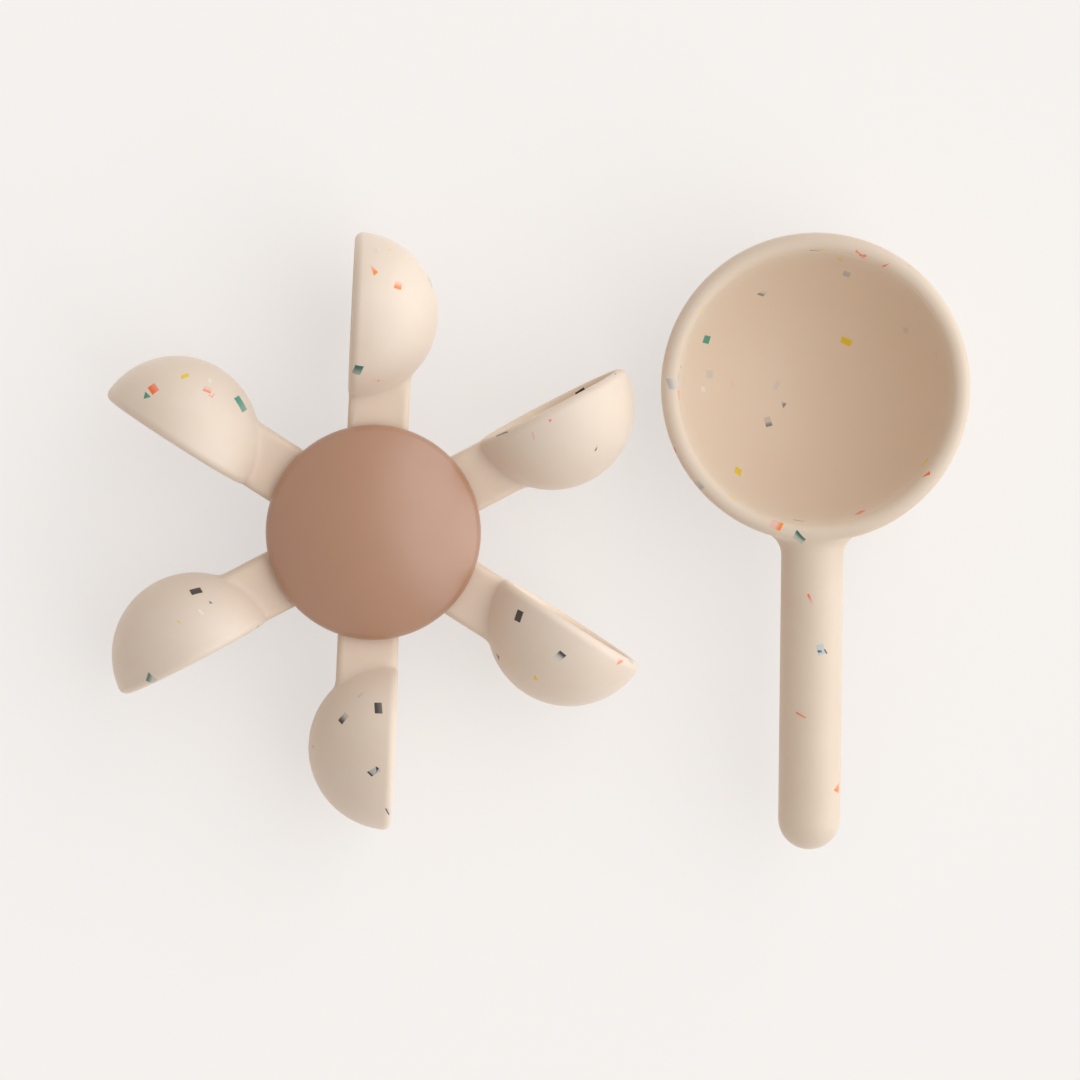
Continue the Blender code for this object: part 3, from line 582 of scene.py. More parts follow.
def model_bar():
    """The arm's flat bar with its narrow tongue, its long edges rounded, along +X."""
    half = ARM_THICKNESS / 2
    low = (BAR_ROOT, -ARM_HALF_WIDTH, WHEEL_PLANE - half)
    high = (BOWL_REACH, ARM_HALF_WIDTH, WHEEL_PLANE + half)
    bar = add_block("arm_bar", low, high)
    bpy.ops.object.mode_set(mode="EDIT")
    pick("FACE", lambda face: face.normal.x < -0.9)
    bpy.ops.mesh.inset(thickness=ARM_HALF_WIDTH * (1 - TONGUE_SHARE) * TONGUE_INSET)
    bpy.ops.transform.resize(value=(1.0, TONGUE_SHARE, 1.0))
    push((TONGUE_ROOT - BAR_ROOT, 0.0, 0.0))
    pick("EDGE", lambda edge: abs(edge.verts[0].co.x - edge.verts[1].co.x) > LONG_EDGE)
    bpy.ops.mesh.bevel(offset=ARM_EDGE_ROUND, segments=BEVEL_STEPS, profile=0.5)
    bpy.ops.object.mode_set(mode="OBJECT")
    reach = ARM_THICKNESS
    hole = add_rod("peg_hole", PEG_HOLE, WHEEL_PLANE - reach, WHEEL_PLANE + reach, (PEG_CIRCLE, 0.0))
    combine(bar, "DIFFERENCE", hole)
    return bar


def model_arm_bowl():
    """The arm's half-ball bowl, open towards +Y, its lip well rounded outside and a little inside."""
    inner = BOWL_RADIUS - BOWL_WALL
    outer_lip = BOWL_WALL - INNER_LIP
    inner_start = math.degrees(math.asin((BOWL_RISE - INNER_LIP) / inner))
    outer_start = math.degrees(math.asin((BOWL_RISE - outer_lip) / BOWL_RADIUS))
    profile = arc(0.0, 0.0, inner, -90.0, inner_start, HOLLOW_STEPS)
    profile += arc(inner + INNER_LIP, BOWL_RISE - INNER_LIP, INNER_LIP, 180.0, 90.0, SOFT_STEPS)[1:]
    lip_height = BOWL_RISE - outer_lip
    profile += arc(BOWL_RADIUS - outer_lip, lip_height, outer_lip, 90.0, 0.0, ROUND_STEPS)[1:]
    profile += arc(0.0, 0.0, BOWL_RADIUS, outer_start, -90.0, DOME_STEPS)[1:]
    bowl = turn_profile("arm_bowl", profile)
    bowl.location = (BOWL_REACH, BOWL_OFFSET, WHEEL_PLANE)
    bowl.rotation_euler.x = -math.pi / 2
    return name_piece("arm_bowl")


def model_arm():
    """One whole arm along +X: bar and bowl as one soft-edged moulding."""
    arm = model_bar()
    centre = Vector((BOWL_REACH, BOWL_OFFSET, WHEEL_PLANE))
    hollow = add_ball("arm_hollow", BOWL_RADIUS - BOWL_WALL / 2, centre, turn=(math.pi / 2, 0.0, 0.0))
    combine(arm, "DIFFERENCE", hollow)
    combine(arm, "UNION", model_arm_bowl())
    melt(arm, ARM_VOXEL, ARM_PASSES)
    half = ARM_THICKNESS / 2

    def near_bowl_joint(point):
        """How close a point is to the line where the bar runs into the bowl's outer side."""
        offset = point - centre
        off_ball = abs(offset.length - BOWL_RADIUS)
        off_face = abs(abs(offset.z) - half)
        off_side = math.hypot(point.y + ARM_HALF_WIDTH, max(abs(offset.z) - half, 0.0))
        if offset.x > 0.0 or offset.length < BOWL_RADIUS - BOWL_WALL / 2 or offset.y > 0.0:
            return 0.0
        return JOINT_CORE - math.hypot(off_ball, min(off_face, off_side)) / JOINT_REACH

    fillet(arm, "bowl_joint", BOWL_JOINT_PASSES, near_bowl_joint)
    return arm


def spread_arms():
    """The arms round the hub, the first along +Y, each a copy with its own mesh."""
    model = model_arm()
    arms = []
    for index in range(ARM_COUNT):
        select_only(model)
        bpy.ops.object.duplicate(linked=False)
        bpy.context.object.rotation_euler.z = arm_angle(index)
        arm = name_piece(f"flaked_arm_{index + 1}")
        arms.append(seat(arm, f"scoop_arm_{index + 1}", "wheel"))
    bpy.data.objects.remove(model)
    return arms


def arm_angle(index):
    """The direction of an arm, the first along +Y and the others clockwise from it."""
    return math.pi / 2 - index * 2 * math.pi / ARM_COUNT


def model_cap():
    """The domed cap: a hollow shell with a socket for the axle's end."""
    dome_centre = cap_high.z - CAP_DOME_RADIUS
    ceiling_radius = CAP_DOME_RADIUS - CAP_WALL
    edge = CAP_RADIUS - CAP_EDGE_ROUND
    edge_angle = math.degrees(math.acos(edge / (CAP_DOME_RADIUS - CAP_EDGE_ROUND)))
    shoulder = dome_centre + edge * math.tan(math.radians(edge_angle))
    boss_angle = math.degrees(math.acos(CAP_BOSS / ceiling_radius))
    lip = CAP_WALL / 2
    boss_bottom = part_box("push_nut")[1].z + GAP
    socket_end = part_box("axle_pin")[1].z + GAP
    profile = arc(0.0, dome_centre, CAP_DOME_RADIUS, 90.0, edge_angle, DOME_STEPS)
    profile += arc(edge, shoulder, CAP_EDGE_ROUND, edge_angle, 0.0, EDGE_STEPS)[1:]
    profile += arc(CAP_RADIUS - lip, cap_low.z + lip, lip, 0.0, -180.0, CAP_LIP_STEPS)
    profile += arc(edge, shoulder, CAP_EDGE_ROUND - CAP_WALL, 0.0, edge_angle, ROUND_STEPS)
    profile += arc(0.0, dome_centre, ceiling_radius, edge_angle, boss_angle, EDGE_STEPS)[1:]
    profile += [
        (CAP_BOSS, boss_bottom),
        (CAP_SOCKET, boss_bottom),
        (CAP_SOCKET, socket_end),
        (0.0, socket_end),
    ]
    return seat(turn_profile("cap_dome", profile), "hub_cap", "base")


def seat(piece, node, body):
    """Closes and shades a finished piece and puts it in the place of its CAD node."""
    select_only(piece)
    bpy.ops.object.mode_set(mode="EDIT")
    close_skin(SMOOTH_ANGLE)
    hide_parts(node)
    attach(piece, body)
    return piece


def rods_round(piece, operation, radius, bottom, top, circle, count):
    """Joins to a piece, or cuts from it, upright rods spread evenly on a circle, the first on +Y."""
    for index in range(count):
        angle = math.pi / 2 - index * 2 * math.pi / count
        place = (circle * math.cos(angle), circle * math.sin(angle))
        combine(piece, operation, add_rod("rod", radius, bottom, top, place))


def model_bell():
    """The suction cup: a bell with a soft lip, a neck, and a button head inside the post."""
    hollow = bell_high.x - BELL_LIP_FACE
    curve = bell_high.x - BELL_SHOULDER
    profile = [(0.0, bell_high.z)]
    profile += arc(BELL_HEAD - SOFT_EDGE, bell_high.z - SOFT_EDGE, SOFT_EDGE, 90.0, 0.0, SOFT_STEPS)
    profile += [(BELL_HEAD, BELL_HEAD_BOTTOM), (BELL_NECK, BELL_HEAD_BOTTOM), (BELL_NECK, BELL_HEIGHT)]
    rise = BELL_HEIGHT - BELL_LIP
    profile += arc(BELL_SHOULDER, BELL_LIP, curve, 90.0, 0.0, BELL_STEPS, height=rise)
    profile += arc(bell_high.x - SOFT_EDGE, SOFT_EDGE, SOFT_EDGE, 0.0, -90.0, SOFT_STEPS)
    profile += arc(0.0, 0.0, hollow, 0.0, 90.0, BELL_STEPS, height=BELL_HOLLOW)
    return seat(turn_profile("suction_bell", profile), "suction_cup", "base")


def model_post():
    """The round post that carries the axle: open below, with three screw bosses inside."""
    bore = post_high.x - POST_WALL
    edge = post_high.x - POST_ROUND
    inner = POST_ROUND / 2
    ceiling = post_high.z - POST_PLATE
    profile = arc(edge, post_high.z - POST_ROUND, POST_ROUND, 90.0, 0.0, POST_STEPS)
    foot = post_low.z + SOFT_EDGE
    profile += arc(post_high.x - SOFT_EDGE, foot, SOFT_EDGE, 0.0, -90.0, SOFT_STEPS)
    profile += [(bore, post_low.z)]
    profile += arc(bore - inner, ceiling - inner, inner, 0.0, 90.0, ROUND_STEPS)
    profile += [(CAP_SOCKET, ceiling), (CAP_SOCKET, post_high.z)]
    post = turn_profile("base_post", profile, closed=True)
    boss_bottom = plate_high.z + GAP
    boss_top = post_high.z - POST_PLATE / 2
    rods_round(post, "UNION", POST_BOSS, boss_bottom, boss_top, POST_SCREWS, SCREW_COUNT)
    below = boss_bottom - GAP
    rods_round(post, "DIFFERENCE", SCREW_HOLE, below, POST_HOLE_TOP, POST_SCREWS, SCREW_COUNT)
    return seat(post, "base_housing", "base")


def model_plate():
    """The plate that closes the post from below, with its screw holes."""
    profile = arc(plate_high.x - GAP, plate_high.z - GAP, GAP, 90.0, 0.0, PLATE_STEPS)
    profile += arc(plate_high.x - GAP, plate_low.z + GAP, GAP, 0.0, -90.0, PLATE_STEPS)
    profile += [(BELL_NECK + GAP, plate_low.z), (BELL_NECK + GAP, plate_high.z)]
    plate = turn_profile("retainer_plate", profile, closed=True)
    below = plate_low.z - GAP
    rods_round(plate, "DIFFERENCE", SCREW_HOLE, below, plate_high.z + GAP, POST_SCREWS, SCREW_COUNT)
    seat_top = plate_low.z + SCREW_SEAT_DEPTH
    rods_round(plate, "DIFFERENCE", SCREW_SEAT, below, seat_top, POST_SCREWS, SCREW_COUNT)
    return seat(plate, "suction_retainer", "base")


def shell_profile():
    """A hub shell's plate, wall and boss, from its outer face at height 0 up to its rim."""
    radius = rear_high.x
    rim = WHEEL_PLANE - GAP / 2 - rear_low.z
    profile = [(radius, rim)]
    profile += arc(radius - SHELL_ROUND, SHELL_ROUND, SHELL_ROUND, 0.0, -90.0, ROUND_STEPS)
    profile += [(SHELL_BORE, 0.0), (SHELL_BORE, rim), (SHELL_BOSS, rim), (SHELL_BOSS, SHELL_PLATE)]
    profile += [(radius - SHELL_PLATE, SHELL_PLATE), (radius - SHELL_PLATE, rim)]
    return profile


def cut_arm_slots(shell):
    """Cuts the arms' ways through a hub shell's wall."""
    half = ARM_HALF_WIDTH + GAP
    reach = ARM_THICKNESS / 2 + GAP
    low = (BAR_ROOT, -half, WHEEL_PLANE - reach)
    high = (rear_high.x + SHELL_PLATE, half, WHEEL_PLANE + reach)
    for index in range(ARM_COUNT):
        slot = add_block("arm_slot", low, high)
        slot.rotation_euler.z = arm_angle(index)
        combine(shell, "DIFFERENCE", name_piece("arm_slot"))


def model_rear_shell():
    """The rear hub shell with the pegs that hold the arms."""
    profile = [(radius, rear_low.z + height) for radius, height in shell_profile()]
    shell = turn_profile("hub_rear_shell", profile, closed=True)
    cut_arm_slots(shell)
    arm_top = WHEEL_PLANE + ARM_THICKNESS / 2
    peg_foot = rear_low.z + SHELL_PLATE / 2
    rods_round(shell, "UNION", PEG_HOLE - GAP, peg_foot, arm_top, PEG_CIRCLE, ARM_COUNT)
    hole_top = front_high.z
    rods_round(shell, "DIFFERENCE", SCREW_HOLE, SHELL_HOLE_BOTTOM, hole_top, PEG_CIRCLE, SCREW_COUNT)
    return seat(shell, "hub_rear", "wheel")


def model_front_shell():
    """The front hub shell with its screw holes, under the cap."""
    profile = [(radius, front_high.z - height) for radius, height in shell_profile()]
    shell = turn_profile("hub_front_shell", profile, closed=True)
    cut_arm_slots(shell)
    hole_top = front_high.z + GAP
    rods_round(shell, "DIFFERENCE", SCREW_HOLE, SHELL_HOLE_BOTTOM, hole_top, PEG_CIRCLE, SCREW_COUNT)
    return seat(shell, "hub_front", "wheel")


def model_scoop_bowl():
    """The pouring scoop's deep bowl on a flat foot, with a broad round lip."""
    inner = SCOOP_RADIUS - 2 * LIP_RADIUS
    depth = SCOOP_CENTRE - SCOOP_FLOOR
    foot_angle = -math.degrees(math.asin(SCOOP_CENTRE / SCOOP_RADIUS))
    profile = arc(0.0, SCOOP_CENTRE, inner, -90.0, 0.0, SCOOP_STEPS, height=depth)
    profile += arc(SCOOP_RADIUS - LIP_RADIUS, SCOOP_CENTRE, LIP_RADIUS, 180.0, 0.0, LIP_STEPS)[1:]
    profile += arc(0.0, SCOOP_CENTRE, SCOOP_RADIUS, 0.0, foot_angle, SCOOP_STEPS)[1:]
    profile += [(0.0, 0.0)]
    return turn_profile("scoop_bowl", profile)


def scoop_hollow():
    """A ball in the middle of the bowl's wall, for cutting off what of the handle reaches inside."""
    radius = SCOOP_RADIUS - LIP_RADIUS
    depth = SCOOP_CENTRE - SCOOP_FLOOR / 2
    stretch = (1.0, 1.0, depth / radius)
    return add_ball("scoop_hollow", radius, (0.0, 0.0, SCOOP_CENTRE), stretch=stretch)


def model_handle():
    """The straight round-ended handle along -Y, flared in two arcs where it runs into the bowl."""
    tip = (0.0, -HANDLE_TIP, HANDLE_AXIS)
    handle = add_ball("handle", HANDLE_RADIUS, tip, turn=(math.pi / 2, 0.0, 0.0))
    bpy.ops.object.mode_set(mode="EDIT")
    bpy.ops.mesh.select_all(action="SELECT")
    bpy.ops.mesh.bisect(plane_co=tip, plane_no=(0.0, 1.0, 0.0), clear_outer=True)
    open_end = -HANDLE_TIP - MERGE_DISTANCE
    pick("EDGE", lambda edge: min(edge.verts[0].co.y, edge.verts[1].co.y) > open_end)
    aside = HANDLE_RADIUS + HANDLE_FLARE
    flare_start = -math.sqrt((SCOOP_RADIUS + HANDLE_FLARE) ** 2 - aside**2)
    push((0.0, flare_start + HANDLE_TIP, 0.0))
    width = HANDLE_RADIUS
    place = 0.0
    for step in range(1, FLARE_STEPS + 1):
        angle = math.acos(aside / (SCOOP_RADIUS + HANDLE_FLARE)) * step / FLARE_STEPS
        next_width = aside - HANDLE_FLARE * math.cos(angle)
        next_place = HANDLE_FLARE * math.sin(angle)
        push((0.0, next_place - place, 0.0))
        bpy.ops.transform.resize(value=(next_width / width, 1.0, 1.0))
        width = next_width
        place = next_place
    push((0.0, 3 * LIP_RADIUS, 0.0))
    bpy.ops.mesh.edge_face_add()
    bpy.ops.mesh.select_all(action="SELECT")
    bpy.ops.mesh.normals_make_consistent(inside=False)
    bpy.ops.object.mode_set(mode="OBJECT")
    return handle


def handle_core():
    """The hollow under the handle as a block with round ends for cutting."""
    bottom = HANDLE_AXIS - 1.5 * HANDLE_RADIUS
    top = HANDLE_AXIS + HANDLE_RADIUS - HANDLE_ROOF
    core = add_rod("handle_core", HOLLOW_RADIUS, bottom, top, (0.0, HOLLOW_END))
    bpy.ops.object.mode_set(mode="EDIT")
    pick("VERT", lambda point: point.co.y > HOLLOW_END + MERGE_DISTANCE)
    bpy.ops.transform.translate(value=(0.0, HOLLOW_START - HOLLOW_END, 0.0))
    bpy.ops.object.mode_set(mode="OBJECT")
    return core


def model_scoop():
    """The whole pouring scoop as one soft-edged moulding, standing beside the wheel."""
    scoop = model_handle()
    combine(scoop, "DIFFERENCE", handle_core())
    combine(scoop, "DIFFERENCE", scoop_hollow())
    combine(scoop, "UNION", model_scoop_bowl())
    melt(scoop, SCOOP_VOXEL, SCOOP_PASSES)
    centre = Vector((0.0, 0.0, SCOOP_CENTRE))
    edge = Vector((0.0, 0.0, HANDLE_AXIS))

    def near_handle_joint(point):
        """How close a point is to the line where the handle runs into the bowl's outer side."""
        off_ball = abs((point - centre).length - SCOOP_RADIUS)
        from_axis = point - edge
        off_handle = abs(math.hypot(from_axis.x, from_axis.z) - HANDLE_RADIUS)
        if point.y > 0.0 or math.hypot(point.x, point.y) < SCOOP_RADIUS - LIP_RADIUS:
            return 0.0
        return JOINT_CORE - math.hypot(off_ball, off_handle) / HANDLE_JOINT_REACH

    def near_hollow_rim(point):
        """How close a point is to the lower rim of the handle's hollow."""
        along = min(max(point.y, HOLLOW_END), HOLLOW_START)
        off_wall = abs(math.hypot(point.x, point.y - along) - HOLLOW_RADIUS)
        if point.z > HANDLE_AXIS - HANDLE_RADIUS / 2:
            return 0.0
        return RIM_CORE - off_wall / HOLLOW_RIM_REACH

    fillet(scoop, "handle_joint", HANDLE_JOINT_PASSES, near_handle_joint)
    fillet(scoop, "hollow_rim", HOLLOW_RIM_PASSES, near_hollow_rim)
    select_only(scoop)
    scoop.location = (SCOOP_X, SCOOP_Y, 0.0)
    scoop.rotation_euler.z = SCOOP_TURN
    return seat(name_piece("flaked_scoop"), "pouring_scoop", "scoop")


def photo_axes():
    """The camera's right, up and back directions in the frame."""
    flat_right = Vector((math.cos(ROLL), math.sin(ROLL), 0.0))
    flat_up = Vector((-math.sin(ROLL), math.cos(ROLL), 0.0))
    back = Vector((0.0, 0.0, 1.0)) + flat_up * math.tan(LEAN_UP) + flat_right * math.tan(LEAN_RIGHT)
    back.normalize()
    right = flat_up.cross(back).normalized()
    return right, back.cross(right), back


def camera_place():
    """Where the camera stands, so that the wheel's middle falls on its pixel."""
    right, up, back = photo_axes()
    aside = (PHOTO_WIDTH / 2 - WHEEL_PIXEL[0]) / PIXELS_PER_METRE
    above = (WHEEL_PIXEL[1] - PHOTO_WIDTH / 2) / PIXELS_PER_METRE
    wheel_middle = Vector((0.0, 0.0, WHEEL_PLANE))
    return wheel_middle + right * aside + up * above + back * CAMERA_DISTANCE


def pixel_ray(pixel):
    """The direction from the camera through a pixel of the photograph."""
    right, up, back = photo_axes()
    across = (pixel[0] - PHOTO_WIDTH / 2) / PIXELS_PER_METRE
    down = (pixel[1] - PHOTO_WIDTH / 2) / PIXELS_PER_METRE
    return (right * across - up * down - back * CAMERA_DISTANCE).normalized()


def point_on(piece, pixel):
    """The point of a piece that the photograph shows at a pixel, or the nearest to it, and its normal."""
    start = camera_place()
    way = pixel_ray(pixel)
    found, point, normal, face = piece.ray_cast(start, way)
    if not found:
        share = (start.z - WHEEL_PLANE) / -way.z
        found, point, normal, face = piece.closest_point_on_mesh(start + way * share)
    return point, normal


def half_way(start, end):
    """Half of the way between two pixels, in the camera's plane."""
    right, up, back = photo_axes()
    across = (end[0] - start[0]) / (2 * PIXELS_PER_METRE)
    down = (end[1] - start[1]) / (2 * PIXELS_PER_METRE)
    return right * across - up * down


def laid_on(way, normal):
    """A way in the camera's plane, laid along the view on a face; a steep face stretches it only so far."""
    back = photo_axes()[2]
    slope = max(back.dot(normal), 1 / MOST_STRETCH)
    laid = way - back * (way.dot(normal) / slope)
    return laid - normal * laid.dot(normal)


def flake_place(piece, chip):
    """A flake's centre on a piece and its three ways there, so that its corners show at their pixels."""
    middle = ((chip.end[0] + chip.side[0]) / 2, (chip.end[1] + chip.side[1]) / 2)
    centre, normal = point_on(piece, middle)
    to_end = laid_on(half_way(chip.root, chip.end), normal)
    to_side = laid_on(half_way(chip.root, chip.side), normal)
    facing = to_end.cross(to_side)
    area = facing.length_squared
    return centre, to_side.cross(facing) / area, facing.cross(to_end) / area, normal / FLAKE_DEPTH


def feed(tree, node, links):
    """Gives each named input of a node its value, or a link where the value is another node's socket."""
    for name, value in links.items():
        if isinstance(value, bpy.types.NodeSocket):
            tree.links.new(value, node.inputs[name])
        else:
            node.inputs[name].default_value = value


def add_node(tree, kind, links=None, **settings):
    """A node with its settings and its fed inputs."""
    made = tree.nodes.new(kind)
    for name, value in settings.items():
        setattr(made, name, value)
    feed(tree, made, links or {})
    return made


def object_place(tree):
    """The place of a point in its own piece."""
    return add_node(tree, "ShaderNodeTexCoord").outputs["Object"]


def number(tree, operation, first, second=0.0, third=0.0):
    """A Math node's output."""
    return add_node(tree, "ShaderNodeMath", {0: first, 1: second, 2: third}, operation=operation).outputs[0]


def vector(tree, operation, first, second=(0.0, 0.0, 0.0)):
    """A Vector Math node's vector output."""
    made = add_node(tree, "ShaderNodeVectorMath", {0: first, 1: second}, operation=operation)
    return made.outputs["Vector"]


def measure(tree, operation, first, second=(0.0, 0.0, 0.0)):
    """A Vector Math node's number: a dot product, a length or a distance."""
    made = add_node(tree, "ShaderNodeVectorMath", {0: first, 1: second}, operation=operation)
    return made.outputs["Value"]


def grow(tree, direction, length):
    """A vector times a number."""
    made = add_node(tree, "ShaderNodeVectorMath", {0: direction, "Scale": length}, operation="SCALE")
    return made.outputs["Vector"]


def mix(tree, share, first, second):
    """A colour between two."""
    links = {MIX_SHARE: share, MIX_FIRST: first, MIX_SECOND: second}
    return add_node(tree, "ShaderNodeMix", links, data_type="RGBA").outputs[MIX_RESULT]


def span(tree, value, low, high, start=0.0, end=1.0):
    """A smooth step of a value between two limits."""
    links = {"Value": value, "From Min": low, "From Max": high, "To Min": start, "To Max": end}
    return add_node(tree, "ShaderNodeMapRange", links, interpolation_type="SMOOTHSTEP").outputs["Result"]


def noise(tree, place, scale, detail):
    """A Noise node's value."""
    links = {"Vector": place, "Scale": scale, "Detail": detail}
    return add_node(tree, "ShaderNodeTexNoise", links).outputs["Fac"]


def new_group(name, inputs, outputs):
    """An empty shader group with its sockets; returns the tree and its input and output nodes."""
    tree = bpy.data.node_groups.new(name, "ShaderNodeTree")
    for in_out, sockets in (("INPUT", inputs), ("OUTPUT", outputs)):
        for label, kind in sockets.items():
            tree.interface.new_socket(label, in_out=in_out, socket_type=f"NodeSocket{kind}")
    return tree, tree.nodes.new("NodeGroupInput"), tree.nodes.new("NodeGroupOutput")


FLAKE_INPUTS = {
    "Surface": "Color",
    "Centre": "Vector",
    "Long Way": "Vector",
    "Wide Way": "Vector",
    "Depth Way": "Vector",
    "Cut": "Float",
    "Softness": "Float",
    "Strength": "Float",
    "Sink": "Float",
    "Flake Colour": "Color",
    "Deep Colour": "Color",
}
FIELD_INPUTS = {
    "Surface": "Color",
    "Bowl Centre": "Vector",
    "Bowl Hollow": "Float",
    "Bowl Opening": "Vector",
    "Shift": "Vector",
}


def flake_group():
    """A flat flake in the skin: four edges, a cut corner, and one end that sinks away.

    Its three ways are directions divided by the half length, the half width and the depth it shows in.
    """
    tree, given, result = new_group("flake", FLAKE_INPUTS, {"Colour": "Color"})
    value = given.outputs
    offset = vector(tree, "SUBTRACT", object_place(tree), value["Centre"])
    run = measure(tree, "DOT_PRODUCT", offset, value["Long Way"])
    side = measure(tree, "DOT_PRODUCT", offset, value["Wide Way"])
    depth = measure(tree, "DOT_PRODUCT", offset, value["Depth Way"])
    farthest = number(tree, "MAXIMUM", number(tree, "ABSOLUTE", run), number(tree, "ABSOLUTE", side))
    corner = number(tree, "SUBTRACT", number(tree, "ADD", run, side), value["Cut"])
    farthest = number(tree, "MAXIMUM", farthest, number(tree, "ADD", corner, 1.0))
    inner = number(tree, "SUBTRACT", 1.0, value["Softness"])
    mask = span(tree, farthest, inner, 1.0, value["Strength"], 0.0)
    near = span(tree, number(tree, "ABSOLUTE", depth), DEPTH_FADE_START, 1.0, 1.0, 0.0)
    sunk = number(tree, "MULTIPLY", span(tree, run, SINK_START, 1.0), value["Sink"])
    sunk = number(tree, "MINIMUM", sunk, 1.0)
    colour = mix(tree, sunk, value["Flake Colour"], value["Deep Colour"])
    fading = number(tree, "MULTIPLY_ADD", sunk, -SINK_FADE, 1.0)
    shown = number(tree, "MULTIPLY", number(tree, "MULTIPLY", mask, near), fading)
    feed(tree, result, {"Colour": mix(tree, shown, value["Surface"], colour)})
    return tree


def chosen_colour(tree, chance):
    """One of the loose flakes' colours, by a chance from 0 to 1."""
    palette = add_node(tree, "ShaderNodeValToRGB", {"Fac": chance})
    stops = palette.color_ramp.elements
    palette.color_ramp.interpolation = "CONSTANT"
    for index, colour in enumerate(LOOSE_COLOURS):
        start = index / len(LOOSE_COLOURS)
        stop = stops[index] if index < 2 else stops.new(start)
        stop.position = start
        stop.color = colour
    return palette.outputs["Color"]


def flake_field_group(flake):
    """Loose flakes all through the plastic, for the sides that the photograph doesn't show."""
    tree, given, result = new_group("flake_field", FIELD_INPUTS, {"Colour": "Color"})
    value = given.outputs
    place = add_node(tree, "ShaderNodeTexCoord").outputs
    normal = place["Normal"]
    shifted = vector(tree, "ADD", place["Object"], value["Shift"])
    cells = add_node(tree, "ShaderNodeTexVoronoi", {"Vector": shifted, "Scale": LOOSE_CELLS}, feature="F1")
    chance = add_node(tree, "ShaderNodeSeparateColor", {"Color": cells.outputs["Color"]}).outputs
    chosen_way = vector(tree, "SUBTRACT", cells.outputs["Color"], (0.5, 0.5, 0.5))
    across = vector(tree, "NORMALIZE", vector(tree, "CROSS_PRODUCT", normal, chosen_way))
    along = vector(tree, "CROSS_PRODUCT", across, normal)
    links = {
        "Surface": value["Surface"],
        "Centre": vector(tree, "SUBTRACT", cells.outputs["Position"], value["Shift"]),
        "Long Way": grow(tree, along, span(tree, chance["Green"], 0.0, 1.0, *LOOSE_LENGTHS)),
        "Wide Way": grow(tree, across, span(tree, chance["Blue"], 0.0, 1.0, *LOOSE_WIDTHS)),
        "Depth Way": grow(tree, normal, 1 / LOOSE_FLAKE_DEPTH),
        "Cut": span(tree, chance["Green"], 0.2, 0.8, *LOOSE_CUTS),
        "Softness": LOOSE_SOFTNESS,
        "Strength": 1.0,
        "Sink": chance["Blue"],
        "Flake Colour": chosen_colour(tree, chance["Red"]),
        "Deep Colour": CREAM,
    }
    loose = add_node(tree, "ShaderNodeGroup", links, node_tree=flake)
    facing = add_node(tree, "ShaderNodeSeparateXYZ", {"Vector": normal}).outputs["Z"]
    away = span(tree, facing, LOOKS_DOWN, LOOKS_ASIDE, 1.0, 0.0)
    from_bowl = vector(tree, "SUBTRACT", place["Object"], value["Bowl Centre"])
    distance = measure(tree, "LENGTH", from_bowl)
    inside = number(tree, "LESS_THAN", distance, value["Bowl Hollow"])
    height = measure(tree, "DOT_PRODUCT", from_bowl, value["Bowl Opening"])
    inside = number(tree, "MULTIPLY", inside, number(tree, "LESS_THAN", height, -LOOSE_FLAKES_BELOW))
    shown = number(tree, "MAXIMUM", away, inside)
    feed(tree, result, {"Colour": mix(tree, shown, value["Surface"], loose.outputs["Colour"])})
    return tree


def satin_group():
    """A moulded satin skin: faint clouds of colour, uneven gloss and a fine grain."""
    inputs = {"Light": "Color", "Deep": "Color", "Roughness": "Float"}
    outputs = {"Colour": "Color", "Roughness": "Float", "Height": "Float"}
    tree, given, result = new_group("satin_skin", inputs, outputs)
    value = given.outputs
    place = object_place(tree)
    clouds = noise(tree, place, CLOUD_SCALE, 3.0)
    grain = noise(tree, place, GRAIN_SCALE, 2.0)
    waves = noise(tree, place, WAVE_SCALE, 2.0)
    share = span(tree, clouds, 0.30, 0.72, 0.0, CLOUD_SHARE)
    share = number(tree, "ADD", share, span(tree, grain, 0.25, 0.75, 0.0, GRAIN_SHARE))
    gloss = span(tree, waves, 0.3, 0.7, -GLOSS_CHANGE, GLOSS_CHANGE)
    links = {
        "Colour": mix(tree, share, value["Light"], value["Deep"]),
        "Roughness": number(tree, "ADD", value["Roughness"], gloss),
        "Height": number(tree, "MULTIPLY_ADD", waves, 0.5, grain),
    }
    feed(tree, result, links)
    return tree


def new_material(name):
    """An empty node material and its Principled shader."""
    made = bpy.data.materials.new(name)
    made.use_nodes = True
    return made, made.node_tree, made.node_tree.nodes["Principled BSDF"]


def satin_finish(name, light, deep, roughness, satin, grain_height, shine):
    """A Principled material with the satin skin; returns it with its tree, shader and skin."""
    made, tree, shader = new_material(name)
    links = {"Light": light, "Deep": deep, "Roughness": roughness}
    skin = add_node(tree, "ShaderNodeGroup", links, node_tree=satin).outputs
    links = {"Height": skin["Height"], "Strength": GRAIN_STRENGTH, "Distance": grain_height}
    bump = add_node(tree, "ShaderNodeBump", links).outputs["Normal"]
    feed(tree, shader, {"Base Color": skin["Colour"], "Roughness": skin["Roughness"], "Normal": bump})
    feed(tree, shader, shine)
    return made, tree, shader, skin


def painted_bounce_share(tree, centre, hollow):
    """Share of the painted bounce light inside a bowl: most on its inner side, falling to 0 over its lip.
    """
    distance = measure(tree, "DISTANCE", object_place(tree), centre)
    return span(tree, distance, hollow - LIP_RADIUS / 2, hollow + LIP_RADIUS, PAINTED_BOUNCE_SHARE, 0.0)


def painted_root_shade(tree):
    """Share of the painted warm shade near the hub, for the cap's shadow and brown bounce: most at the
    hub's rim, falling to 0 along an arm.
    """
    flat = vector(tree, "MULTIPLY", object_place(tree), (1.0, 1.0, 0.0))
    return span(tree, measure(tree, "LENGTH", flat), ROOT_SHADE_START, ROOT_SHADE_END, ROOT_SHADE_SHARE, 0.0)


